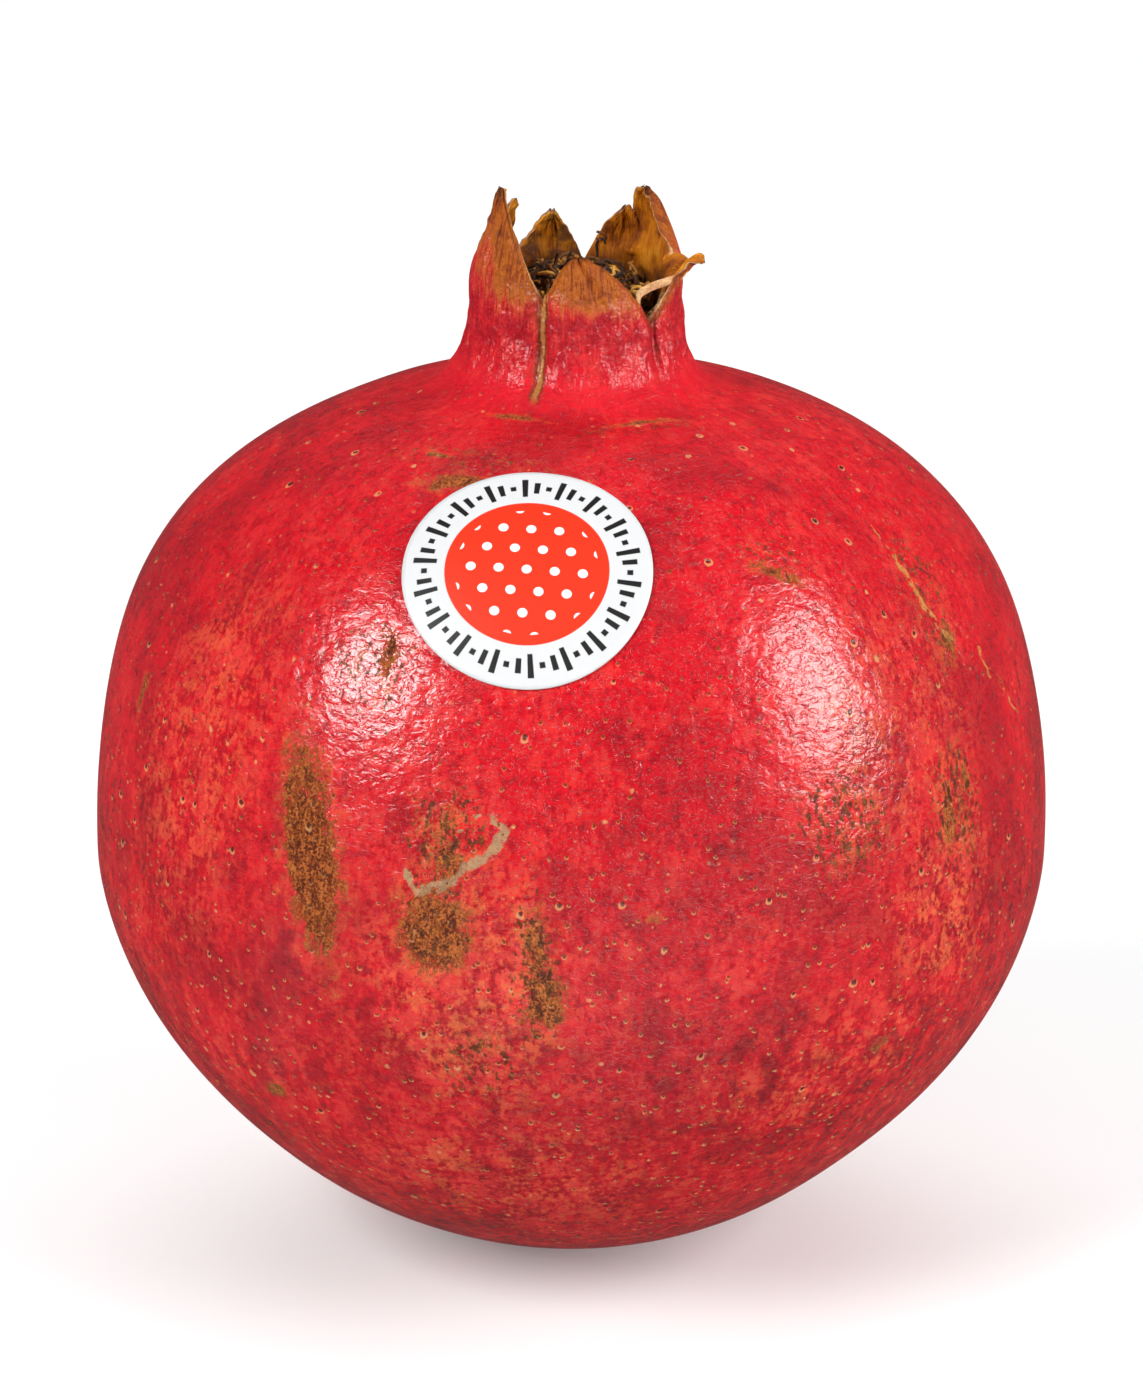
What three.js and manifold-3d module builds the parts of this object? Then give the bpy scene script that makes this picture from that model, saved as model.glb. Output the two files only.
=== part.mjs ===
// A ripe pomegranate that stands on its base: the rind with the calyx crown that grew on it, the tuft of
// dried stamens in the crown, and a round paper label on the front of the rind.
// Units are millimetres and +Z is up. The origin is the middle of the flat spot that the fruit stands on.
// Angles round the fruit are in degrees, from 0 at the front, which is -Y, towards +X.
import * as THREE from "three";
import { mergeVertices } from "three/addons/utils/BufferGeometryUtils.js";
import Module from "manifold-3d";

const { degToRad, smoothstep, lerp, clamp } = THREE.MathUtils;

// The body is a flattened globe: a blunt dome over a rounder bowl, both superellipses.
const WIDEST_RADIUS = 47.5;
const WIDEST_HEIGHT = 40.2;
const BOWL_DEPTH = 41.6;
const BOWL_ROUNDNESS = 1.77;
const DOME_HEIGHT = 47.6;
const DOME_ROUNDNESS = 2.62;

// The dome sweeps up into the neck of the crown.
const NECK_RADIUS = 10.5;
const NECK_FLARE = 6;
const NECK_FLARE_POWER = 8;
const SHOULDER_RADIUS = 17;

// Six seed chambers swell under the rind, and the valleys between them are deepest at the shoulder.
const CHAMBERS = 6;
const FIRST_CHAMBER_ANGLE = 30;
const VALLEY_AT_WIDEST = 0.012;
const VALLEY_AT_SHOULDER = 0.045;
const VALLEY_UNEVENNESS = 0.35;

// The cut stem sits in a shallow dimple in the middle of the flat spot.
const STEM_SCAR = [
  { radius: 2.3, height: 1 },
  { radius: 3.1, height: 2.4 },
  { radius: 4.6, height: 1.1 },
  { radius: 6.4, height: 0 },
];

// The crown is a short tube that splits into seven dried lobes.
const RIM_RADIUS = 10.5;
const WALL = 1.7;
const SEAM_DEPTH = 0.5;
const SEAM_WIDTH = 5;
const SEAM_LENGTH = 7;
const CUP_RADIUS = 8.7;
const CUP_FLOOR = 88.5;
const CUP_CORNER = 2.2;
const LOBE_TIP_SHARE = 0.06;
const LOBE_TIP_THICKNESS = 0.9;
const LOBE_EDGE_THINNING = 0.4;
const LOBE_DRIFT = 0.85;

// The whole crown stands a little to the right of the fruit's axis.
const CROWN_SHIFT = 0.45;
const CROWN_SHIFT_FROM = 87;

// Each lobe stands between two notches, at start and end, and startHeight is how high the first one is.
// Its spine is length long and rises towards the angle tip. It leaves the rim at lean degrees outwards,
// turns by bend on the way up, and by curl at the tip. The foldStart and foldEnd are how far each half
// turns about the spine: positive cups the lobe towards the fruit's axis, negative rolls a margin outwards.
// Fullness above 1 gives it convex sides, and bluntness below 1 a rounder tip.
const LOBES = [
  {
    start: -18, end: 47, startHeight: 96.6, tip: 1, length: 6.7, lean: -5,
    bend: -14, curl: -40, foldStart: 44, foldEnd: 34, fullness: 1.35, bluntness: 1,
  },
  {
    start: 47, end: 88, startHeight: 94.5, tip: 72, length: 4.6, lean: 17,
    bend: 34, curl: 34, foldStart: 26, foldEnd: 30, fullness: 1, bluntness: 1,
  },
  {
    start: 88, end: 140, startHeight: 99.2, tip: 129, length: 7.3, lean: 4,
    bend: -26, curl: -30, foldStart: 95, foldEnd: 34, fullness: 1.9, bluntness: 0.65,
  },
  {
    start: 140, end: 176, startHeight: 98.6, tip: 147, length: 5.7, lean: -4,
    bend: -16, curl: -14, foldStart: 30, foldEnd: 40, fullness: 1.4, bluntness: 0.8,
  },
  {
    start: 176, end: 220, startHeight: 97.2, tip: 196, length: 5.9, lean: -5,
    bend: -16, curl: -36, foldStart: 36, foldEnd: 36, fullness: 1.15, bluntness: 0.95,
  },
  {
    start: 220, end: 265, startHeight: 97.6, tip: 241, length: 8.2, lean: -21,
    bend: -14, curl: -14, foldStart: 36, foldEnd: 42, fullness: 1.3, bluntness: 0.9,
  },
  {
    start: 265, end: 342, startHeight: 98, tip: 298, length: 10.5, lean: -12,
    bend: -2, curl: -6, foldStart: 46, foldEnd: 30, fullness: 1.08, bluntness: 1,
  },
];

// The stamens are a pith cushion on the cup's floor, set with curled filaments.
const FIT_GAP = 0.3;
const CUSHION_RADIUS = 8.3;
const CUSHION_EDGE_HEIGHT = 94.4;
const CUSHION_TOP = 97.4;
const FILAMENTS = 40;
const FILAMENT_WIDTH = 0.8;
const FILAMENT_RING = 6.4;
const FILAMENT_REACH = 7.3;
const FILAMENT_STEPS = 5;
const FILAMENT_ROOT = 1;
const FILAMENT_TALLEST = 7;
const RANDOM_SEED = 11;

// The label is a round paper sticker, bent to the rind on the upper front.
const LABEL_RADIUS = 11.65;
const LABEL_ANGLE = -7;
const LABEL_HEIGHT = 77.6;
const LABEL_THICKNESS = 0.3;

// How finely each surface is divided.
const DEGREES_PER_COLUMN = 6.5;
const BOWL_RINGS = 13;
const DOME_RINGS = 13;
const FLARE_RINGS = 6;
const TUBE_RINGS = 2;
const CUP_RINGS = 3;
const LOBE_ROWS = 8;
const SPINE_STEPS = 24;
const LABEL_RINGS = 5;
const LABEL_SPOKES = 40;

const NECK_TOP =
  WIDEST_HEIGHT + DOME_HEIGHT * (1 - (NECK_RADIUS / WIDEST_RADIUS) ** DOME_ROUNDNESS) ** (1 / DOME_ROUNDNESS) + NECK_FLARE;

// Outline of the rind

// How far the axis of the fruit has moved to the right at a height.
function crownShift(height) {
  return CROWN_SHIFT * smoothstep(height, CROWN_SHIFT_FROM, NECK_TOP);
}

// Radius of the body at a height, without the crown's flare.
function bodyRadius(height) {
  const above = height - WIDEST_HEIGHT;
  const [reach, power] = above > 0 ? [DOME_HEIGHT, DOME_ROUNDNESS] : [BOWL_DEPTH, BOWL_ROUNDNESS];
  return WIDEST_RADIUS * Math.max(0, 1 - (Math.abs(above) / reach) ** power) ** (1 / power);
}

// Height of the dome at a radius, with the flare that lifts it into the neck.
function domeHeight(radius) {
  const dome = DOME_HEIGHT * (1 - (radius / WIDEST_RADIUS) ** DOME_ROUNDNESS) ** (1 / DOME_ROUNDNESS);
  return WIDEST_HEIGHT + dome + NECK_FLARE * (NECK_RADIUS / radius) ** NECK_FLARE_POWER;
}

// The share of its radius that the body loses in the valleys between the seed chambers.
function valley(angle, height) {
  const wave = (1 - Math.cos(degToRad(angle - FIRST_CHAMBER_ANGLE) * CHAMBERS)) / 2;
  const uneven = 1 + VALLEY_UNEVENNESS * Math.sin(degToRad(2 * angle + 40));
  const depth = lerp(VALLEY_AT_WIDEST, VALLEY_AT_SHOULDER, smoothstep(height, WIDEST_HEIGHT, 80));
  const fade = smoothstep(height, 0, 14) * (1 - smoothstep(height, 80, NECK_TOP - 2));
  return wave * uneven * depth * fade;
}

// Two notches bound each lobe, and a seam runs down the neck under each notch.
function seam(angle, height) {
  const away = Math.min(...LOBES.map((lobe) => Math.abs(nearTurn(lobe.start, angle) - angle)));
  const fade = smoothstep(height, NECK_TOP - SEAM_LENGTH, NECK_TOP + 1);
  return SEAM_DEPTH * fade * Math.exp(-((away / SEAM_WIDTH) ** 2));
}

function onCircle(angle, radius, height) {
  const turn = degToRad(angle);
  return new THREE.Vector3(radius * Math.sin(turn), -radius * Math.cos(turn), height);
}

function skinPoint(angle, radius, height) {
  return onCircle(angle, radius * (1 - valley(angle, height)) - seam(angle, height), height);
}

// The rings of the rind from the stem scar to the top of the neck.
function outlineRings() {
  const rings = [...STEM_SCAR];
  const footTurn = Math.acos((WIDEST_HEIGHT / BOWL_DEPTH) ** (BOWL_ROUNDNESS / 2));
  for (let i = 0; i <= BOWL_RINGS; i++) {
    const turn = lerp(footTurn, Math.PI / 2, i / BOWL_RINGS);
    rings.push({
      radius: WIDEST_RADIUS * Math.sin(turn) ** (2 / BOWL_ROUNDNESS),
      height: WIDEST_HEIGHT - BOWL_DEPTH * Math.max(0, Math.cos(turn)) ** (2 / BOWL_ROUNDNESS),
    });
  }
  const shoulderTurn = Math.acos((SHOULDER_RADIUS / WIDEST_RADIUS) ** (DOME_ROUNDNESS / 2));
  for (let i = 1; i <= DOME_RINGS; i++) {
    const turn = shoulderTurn * (i / DOME_RINGS) ** 1.25;
    const radius = WIDEST_RADIUS * Math.cos(turn) ** (2 / DOME_ROUNDNESS);
    rings.push({ radius, height: domeHeight(radius) });
  }
  for (let i = 1; i <= FLARE_RINGS; i++) {
    const radius = NECK_RADIUS + (SHOULDER_RADIUS - NECK_RADIUS) * (1 - i / FLARE_RINGS) ** 1.8;
    rings.push({ radius, height: domeHeight(radius) });
  }
  return rings;
}

// Calyx lobes

// Height of the rim at an angle: it runs smoothly from notch to notch.
function rimHeight(lobe, across) {
  const next = LOBES[(LOBES.indexOf(lobe) + 1) % LOBES.length];
  return lerp(lobe.startHeight, next.startHeight, smoothstep(across, -1, 1));
}

// How far the spine has gone outwards and upwards by a share of its length.
function spinePoint(lobe, along) {
  let out = 0;
  let up = 0;
  for (let i = 0; i < SPINE_STEPS; i++) {
    const share = ((i + 0.5) / SPINE_STEPS) * along;
    const heading = degToRad(
      lobe.lean * smoothstep(share, 0, 0.3) + lobe.bend * share + lobe.curl * smoothstep(share, 0.65, 1),
    );
    out += Math.sin(heading);
    up += Math.cos(heading);
  }
  const step = (lobe.length * along) / SPINE_STEPS;
  return { out: out * step, up: up * step };
}

// The same angle, written so that it is within half a turn of another.
function nearTurn(angle, other) {
  return other + ((((angle - other + 180) % 360) + 360) % 360) - 180;
}

// A point on the outer face of a lobe: across runs from -1 to 1 between its notches, along from rim to tip.
function lobePoint(lobe, across, along) {
  const baseAngle = (lobe.start + lobe.end) / 2;
  const halfSpan = (lobe.end - lobe.start) / 2;
  const angle = lerp(baseAngle, nearTurn(lobe.tip, baseAngle), along ** LOBE_DRIFT);
  const taper = lerp(LOBE_TIP_SHARE, 1, (1 - along ** lobe.fullness) ** lobe.bluntness);
  const halfWidth = RIM_RADIUS * degToRad(halfSpan) * taper;
  const fold = across < 0 ? lobe.foldStart : lobe.foldEnd;
  const turn = degToRad(lerp(halfSpan, fold, smoothstep(along, 0, 0.7)));
  const sideways = (halfWidth * Math.sin(across * turn)) / turn;
  const inwards = (halfWidth * (1 - Math.cos(across * turn))) / turn;
  const spine = spinePoint(lobe, along);
  const level = lerp(rimHeight(lobe, across), rimHeight(lobe, 0), smoothstep(along, 0, 0.6));
  const point = onCircle(angle, RIM_RADIUS + spine.out - inwards, level + spine.up);
  point.addScaledVector(onCircle(angle + 90, 1, 0), sideways);
  const notchFade = 1 - smoothstep(along, 0, 0.35);
  const edgeAngle = baseAngle + across * halfSpan;
  return point.addScaledVector(onCircle(edgeAngle, 1, 0), -seam(edgeAngle, NECK_TOP + 1) * notchFade);
}

// The matching point on the inner face, one wall thickness in from the outer face.
function lobeInnerPoint(lobe, across, along) {
  const step = 0.02;
  const acrossFrom = clamp(across - step, -1, 1);
  const acrossTo = clamp(across + step, -1, 1);
  const alongFrom = clamp(along - step, 0, 1);
  const alongTo = clamp(along + step, 0, 1);
  const acrossWay = lobePoint(lobe, acrossTo, along).sub(lobePoint(lobe, acrossFrom, along));
  const alongWay = lobePoint(lobe, across, alongTo).sub(lobePoint(lobe, across, alongFrom));
  const facing = acrossWay.cross(alongWay).normalize();
  const edgeAngle = (lobe.start + lobe.end) / 2 + (across * (lobe.end - lobe.start)) / 2;
  const outwards = onCircle(edgeAngle, 1, 0);
  const normal = outwards.lerp(facing, smoothstep(along, 0, 0.3)).normalize();
  const edge = 1 - LOBE_EDGE_THINNING * across ** 4 * smoothstep(along, 0, 0.3);
  const thickness = lerp(WALL, LOBE_TIP_THICKNESS, along ** 0.8) * edge;
  return lobePoint(lobe, across, along).addScaledVector(normal, -thickness);
}

// Mesh building

class Skin {
  constructor() {
    this.points = [];
    this.faces = [];
  }
  add(point) {
    this.points.push(point.x + crownShift(point.z), point.y, point.z);
    return this.points.length / 3 - 1;
  }
  quad(a, b, c, d) {
    this.faces.push(a, b, c, a, c, d);
  }
  // Joins two rows of vertices, the second one above the first as seen from outside.
  band(lower, upper, closed) {
    const count = closed ? lower.length : lower.length - 1;
    for (let i = 0; i < count; i++) {
      const next = (i + 1) % lower.length;
      this.quad(lower[i], lower[next], upper[next], upper[i]);
    }
  }
  fan(centre, row) {
    row.forEach((vertex, i) => this.faces.push(centre, vertex, row[(i + 1) % row.length]));
  }
  geometry() {
    const shape = new THREE.BufferGeometry();
    shape.setAttribute("position", new THREE.Float32BufferAttribute(this.points, 3));
    shape.setIndex(this.faces);
    shape.computeVertexNormals();
    return shape;
  }
}

// The columns of the mesh: a whole number between each pair of notches.
function lobeColumns(lobe) {
  return Math.round((lobe.end - lobe.start) / DEGREES_PER_COLUMN);
}

function columnAngles() {
  return LOBES.flatMap((lobe) => {
    const count = lobeColumns(lobe);
    return Array.from({ length: count }, (_, i) => lerp(lobe.start, lobe.end, i / count));
  });
}

// The height of the rim at every column.
function columnRims() {
  return LOBES.flatMap((lobe) => {
    const count = lobeColumns(lobe);
    return Array.from({ length: count }, (_, i) => rimHeight(lobe, (2 * i) / count - 1));
  });
}

// One lobe between the outer and inner rim rows: two faces, joined round its margin.
function addLobe(skin, lobe, outerRim, innerRim) {
  const count = lobeColumns(lobe);
  const outerRows = [outerRim];
  const innerRows = [innerRim];
  for (let row = 1; row <= LOBE_ROWS; row++) {
    const along = 1 - (1 - row / LOBE_ROWS) ** 1.2;
    const columns = Array.from({ length: count + 1 }, (_, i) => (2 * i) / count - 1);
    outerRows.push(columns.map((across) => skin.add(lobePoint(lobe, across, along))));
    innerRows.push(columns.map((across) => skin.add(lobeInnerPoint(lobe, across, along))));
    skin.band(outerRows[row - 1], outerRows[row], false);
    skin.band(innerRows[row], innerRows[row - 1], false);
    skin.quad(outerRows[row - 1][0], outerRows[row][0], innerRows[row][0], innerRows[row - 1][0]);
    skin.quad(outerRows[row][count], outerRows[row - 1][count], innerRows[row - 1][count], innerRows[row][count]);
  }
  skin.band(outerRows[LOBE_ROWS], innerRows[LOBE_ROWS], false);
}

function fruitGeometry() {
  const skin = new Skin();
  const angles = columnAngles();
  const rims = columnRims();
  const rows = outlineRings().map(({ radius, height }) =>
    angles.map((angle) => skin.add(skinPoint(angle, radius, height))),
  );
  for (let ring = 1; ring <= TUBE_RINGS; ring++) {
    const share = ring / TUBE_RINGS;
    rows.push(angles.map((angle, i) => skin.add(tubePoint(angle, rims[i], share))));
  }
  const scarCentre = skin.add(new THREE.Vector3(0, 0, STEM_SCAR[0].height));
  skin.fan(scarCentre, [...rows[0]].reverse());
  rows.slice(1).forEach((row, i) => skin.band(rows[i], row, true));

  const outerRim = rows.at(-1);
  const innerRim = angles.map((angle, i) =>
    skin.add(onCircle(angle, RIM_RADIUS - WALL, rims[i])),
  );
  let first = 0;
  for (const lobe of LOBES) {
    const picked = Array.from({ length: lobeColumns(lobe) + 1 }, (_, i) => (first + i) % angles.length);
    addLobe(skin, lobe, picked.map((i) => outerRim[i]), picked.map((i) => innerRim[i]));
    first += lobeColumns(lobe);
  }

  let above = innerRim;
  for (let ring = 1; ring <= CUP_RINGS; ring++) {
    const share = ring / CUP_RINGS;
    const row = angles.map((angle, i) =>
      skin.add(onCircle(angle, CUP_RADIUS, lerp(rims[i], CUP_FLOOR + CUP_CORNER, share))),
    );
    skin.band(above, row, true);
    above = row;
  }
  const floorEdge = angles.map((angle) => skin.add(onCircle(angle, CUP_RADIUS - CUP_CORNER, CUP_FLOOR)));
  skin.band(above, floorEdge, true);
  skin.fan(skin.add(new THREE.Vector3(0, 0, CUP_FLOOR)), floorEdge);
  return skin.geometry();
}

function tubePoint(angle, rim, share) {
  const height = lerp(NECK_TOP, rim, share);
  const radius = lerp(NECK_RADIUS, RIM_RADIUS, share);
  return onCircle(angle, radius - seam(angle, height), height);
}

// Dried stamens

// A repeatable random number from 0 to 1 at each call.
function randomSource(seed) {
  let state = seed;
  return () => {
    state = (state * 16807) % 2147483647;
    return state / 2147483647;
  };
}

function solidOf(wasm, geometry) {
  const bare = geometry.clone();
  bare.deleteAttribute("normal");
  bare.deleteAttribute("uv");
  const merged = mergeVertices(bare, 1e-4);
  return new wasm.Manifold(
    new wasm.Mesh({
      numProp: 3,
      vertProperties: merged.attributes.position.array,
      triVerts: new Uint32Array(merged.index.array),
    }),
  );
}

function geometryOf(solid) {
  const { vertProperties, triVerts } = solid.getMesh();
  const shape = new THREE.BufferGeometry();
  shape.setAttribute("position", new THREE.Float32BufferAttribute(vertProperties, 3));
  shape.setIndex(new THREE.Uint32BufferAttribute(triVerts, 1));
  shape.computeVertexNormals();
  return shape;
}

function cushionTop(radius) {
  return lerp(CUSHION_TOP, CUSHION_EDGE_HEIGHT, (radius / CUSHION_RADIUS) ** 2);
}

function cushionGeometry() {
  const floor = CUP_FLOOR + FIT_GAP;
  const outline = [new THREE.Vector2(0, floor), new THREE.Vector2(CUSHION_RADIUS - CUP_CORNER, floor)];
  outline.push(new THREE.Vector2(CUSHION_RADIUS, floor + CUP_CORNER));
  for (const radius of [CUSHION_RADIUS, CUSHION_RADIUS * 0.55, 0]) {
    outline.push(new THREE.Vector2(radius, cushionTop(radius)));
  }
  return new THREE.LatheGeometry(outline, 24).rotateX(Math.PI / 2).translate(CROWN_SHIFT, 0, 0);
}

// One filament: it rises from the cushion and winds into a hook.
function filamentPath(index, random) {
  const angle = index * 137.5;
  const radius = FILAMENT_RING * Math.sqrt((index + 0.5) / FILAMENTS);
  const point = onCircle(angle, radius, cushionTop(radius) - FILAMENT_ROOT);
  const length = index === 0 ? FILAMENT_TALLEST : lerp(3.6, 5.4, random());
  const hookAngle = angle + lerp(60, 300, random());
  const turnRate = degToRad(lerp(90, 210, random()));
  const sideways = onCircle(hookAngle, 1, 0);
  const path = [point.clone()];
  for (let step = 1; step <= FILAMENT_STEPS; step++) {
    const share = step / FILAMENT_STEPS;
    const heading = turnRate * share ** 1.6;
    point.z += (Math.cos(heading) * length) / FILAMENT_STEPS;
    point.addScaledVector(sideways, (Math.sin(heading) * length) / FILAMENT_STEPS);
    const reach = Math.min(1, FILAMENT_REACH / Math.hypot(point.x, point.y));
    path.push(point.clone().multiply(new THREE.Vector3(reach, reach, 1)));
  }
  return path.map((spot) => spot.setX(spot.x + CROWN_SHIFT));
}

function filamentGeometry(path) {
  const half = FILAMENT_WIDTH / 2;
  const section = new THREE.Shape([
    new THREE.Vector2(-half, -half * 0.6),
    new THREE.Vector2(half, -half * 0.6),
    new THREE.Vector2(0, half),
  ]);
  return new THREE.ExtrudeGeometry(section, {
    steps: FILAMENT_STEPS,
    bevelEnabled: false,
    extrudePath: new THREE.CatmullRomCurve3(path),
  });
}

function stamenGeometry(wasm) {
  const random = randomSource(RANDOM_SEED);
  const pieces = [solidOf(wasm, cushionGeometry())];
  for (let i = 0; i < FILAMENTS; i++) pieces.push(solidOf(wasm, filamentGeometry(filamentPath(i, random))));
  const whole = wasm.Manifold.union(pieces);
  return geometryOf(whole.decompose().sort((a, b) => b.volume() - a.volume())[0]);
}

// Label

// The point of the rind straight under a point of the label's own plane.
function rindUnder(start, inwards) {
  let near = -12;
  let far = 14;
  for (let i = 0; i < 40; i++) {
    const middle = (near + far) / 2;
    const point = start.clone().addScaledVector(inwards, middle);
    const angle = THREE.MathUtils.radToDeg(Math.atan2(point.x, -point.y));
    const skinRadius = bodyRadius(point.z) * (1 - valley(angle, point.z));
    if (Math.hypot(point.x, point.y) > skinRadius) near = middle;
    else far = middle;
  }
  return start.clone().addScaledVector(inwards, far);
}

function rindNormal(angle, height) {
  const at = (turn, level) => skinPoint(angle + turn, bodyRadius(height + level), height + level);
  return at(1, 0).sub(at(-1, 0)).cross(at(0, 0.5).sub(at(0, -0.5))).normalize();
}

function labelGeometry() {
  const skin = new Skin();
  const centre = skinPoint(LABEL_ANGLE, bodyRadius(LABEL_HEIGHT), LABEL_HEIGHT);
  const normal = rindNormal(LABEL_ANGLE, LABEL_HEIGHT);
  const sideways = onCircle(LABEL_ANGLE + 90, 1, 0);
  const upwards = normal.clone().cross(sideways);
  const inwards = normal.clone().negate();
  const under = (radius, turn) => {
    const start = centre.clone().addScaledVector(sideways, radius * Math.cos(turn));
    return rindUnder(start.addScaledVector(upwards, radius * Math.sin(turn)), inwards);
  };
  const faces = [FIT_GAP, FIT_GAP + LABEL_THICKNESS].map((lift) => {
    const middle = skin.add(centre.clone().addScaledVector(normal, lift));
    const rings = [];
    for (let ring = 1; ring <= LABEL_RINGS; ring++) {
      const radius = (LABEL_RADIUS * ring) / LABEL_RINGS;
      rings.push(
        Array.from({ length: LABEL_SPOKES }, (_, i) => {
          const turn = (2 * Math.PI * i) / LABEL_SPOKES;
          const point = under(radius, turn);
          const angle = THREE.MathUtils.radToDeg(Math.atan2(point.x, -point.y));
          return skin.add(point.addScaledVector(rindNormal(angle, point.z), lift));
        }),
      );
    }
    return { middle, rings };
  });
  const [back, front] = faces;
  skin.fan(front.middle, front.rings[0]);
  skin.fan(back.middle, [...back.rings[0]].reverse());
  for (let ring = 1; ring < LABEL_RINGS; ring++) {
    skin.band(front.rings[ring], front.rings[ring - 1], true);
    skin.band(back.rings[ring - 1], back.rings[ring], true);
  }
  skin.band(back.rings.at(-1), front.rings.at(-1), true);
  return skin.geometry();
}

// Assembly

function material(color, roughness) {
  return new THREE.MeshStandardMaterial({ color, roughness, metalness: 0 });
}

function piece(name, geometry, finish) {
  const mesh = new THREE.Mesh(geometry, finish);
  mesh.name = name;
  return mesh;
}

const wasm = await Module();
wasm.setup();

const pomegranate = new THREE.Group();
pomegranate.add(
  piece("fruit", fruitGeometry(), material(0xb3141f, 0.38)),
  piece("stamens", stamenGeometry(wasm), material(0x5a3410, 0.75)),
  piece("label", labelGeometry(), material(0xf2f2f0, 0.35)),
);

export default pomegranate;
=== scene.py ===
import math
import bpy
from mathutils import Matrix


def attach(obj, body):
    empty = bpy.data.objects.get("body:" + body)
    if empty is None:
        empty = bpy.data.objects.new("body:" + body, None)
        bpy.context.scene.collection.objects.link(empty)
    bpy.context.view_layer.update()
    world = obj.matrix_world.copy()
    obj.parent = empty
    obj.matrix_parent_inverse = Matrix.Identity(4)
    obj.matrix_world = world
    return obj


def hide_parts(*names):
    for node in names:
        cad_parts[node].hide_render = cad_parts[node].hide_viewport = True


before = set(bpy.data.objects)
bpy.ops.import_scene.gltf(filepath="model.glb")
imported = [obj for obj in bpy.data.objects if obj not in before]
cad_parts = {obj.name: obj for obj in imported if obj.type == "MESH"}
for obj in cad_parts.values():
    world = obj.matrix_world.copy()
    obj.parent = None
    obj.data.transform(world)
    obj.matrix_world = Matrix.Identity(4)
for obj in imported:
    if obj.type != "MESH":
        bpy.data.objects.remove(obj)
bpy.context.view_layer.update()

from types import SimpleNamespace

import bpy
import numpy as np
from mathutils import Vector, noise

# The rind and crown
# A pomegranate's rind is a leathery skin over six seed chambers, which swell it a little. It stands on the
# scar of its cut stem, and at the top it runs up a short neck into the calyx, whose seven lobes have dried
# to thin brown blades. It all grew as one piece.

MM = 0.001

# All sizes are in millimetres and all angles in degrees. The body is a bowl up to its widest ring and a dome
# above that, both superellipses, and flares up into the neck.
WIDEST_RADIUS = 47.5
WIDEST_HEIGHT = 40.2
BOWL_DEPTH = 41.6
BOWL_ROUNDNESS = 1.77
DOME_HEIGHT = 47.6
DOME_ROUNDNESS = 2.62
NECK_RADIUS = 10.5
NECK_FLARE = 6
NECK_FLARE_POWER = 8

# The valleys between the seed chambers, as shares of the radius, and the soft lumps all over.
CHAMBERS = 6
FIRST_CHAMBER_ANGLE = 30
VALLEY_AT_WIDEST = 0.012
VALLEY_AT_SHOULDER = 0.045
VALLEY_UNEVENNESS = 0.35
SWELL = 0.28
SWELL_SIZE = 17

# The pleats of the neck, and the low welt at its foot.
NECK_WRINKLES = 0.55
WELT_DEPTH = 0.55
WELT_HEIGHT = 88.3
WELT_WIDTH = 0.9
WELT_ANGLE = 8

# The stub of the cut stem and the corky ring round it: radius and height, from the middle outwards.
STEM_SCAR = (
    (0, 0.9), (1.2, 1.05), (2.3, 1.0), (2.8, 1.9), (3.1, 2.4), (3.7, 1.9), (4.6, 1.1), (5.6, 0.3), (6.4, 0),
)

# The wall at the rim, the seams that run down from its notches, and the cup in the crown, which all stand a
# little to the right.
RIM_RADIUS = 10.5
WALL = 1.7
SEAM_DEPTH = 0.5
SEAM_WIDTH = 5
SEAM_LENGTH = 7
CUP_RADIUS = 8.7
CUP_FLOOR = 88.5
CUP_CORNER = 2.2
CROWN_SHIFT = 0.45
CROWN_SHIFT_FROM = 87

# What the lobes share: their taper and drift to their tips, their thickness, and the relief of dried tissue.
LOBE_TIP_SHARE = 0.06
LOBE_DRIFT = 0.85
LOBE_THICKNESS = 0.62
LOBE_UNEVENNESS = 0.1
LOBE_CREASE = 0.32
LOBE_RIBS = 0.17
LOBE_RIPPLE = 0.3
LOBE_KNOB = 0.25
LOBE_EDGE_BULGE = 0.12

# The lobes stand between notches, with start, end and tip in degrees from the front, towards the right. Each
# leans out, bends on its way up and curls at its tip, and its two halves fold by an angle each.
LOBES = (
    dict(
        start=-18, end=47, base=96.6, tip=1, length=6.7, lean=-5,
        bend=-14, curl=-40, fold=(44, 34), full=1.35, blunt=1,
    ),
    dict(
        start=47, end=88, base=94.5, tip=72, length=4.6, lean=17,
        bend=34, curl=34, fold=(26, 30), full=1, blunt=1,
    ),
    dict(
        start=88, end=140, base=99.2, tip=129, length=7.3, lean=4,
        bend=-26, curl=-30, fold=(95, 34), full=1.9, blunt=0.65,
    ),
    dict(
        start=140, end=176, base=98.6, tip=147, length=5.7, lean=-4,
        bend=-16, curl=-14, fold=(30, 40), full=1.4, blunt=0.8,
    ),
    dict(
        start=176, end=220, base=97.2, tip=196, length=5.9, lean=-5,
        bend=-16, curl=-36, fold=(36, 36), full=1.15, blunt=0.95,
    ),
    dict(
        start=220, end=265, base=97.6, tip=241, length=8.2, lean=-21,
        bend=-14, curl=-14, fold=(36, 42), full=1.3, blunt=0.9,
    ),
    dict(
        start=265, end=342, base=98, tip=298, length=10.5, lean=-12,
        bend=-2, curl=-6, fold=(46, 30), full=1.08, blunt=1,
    ),
)

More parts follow.
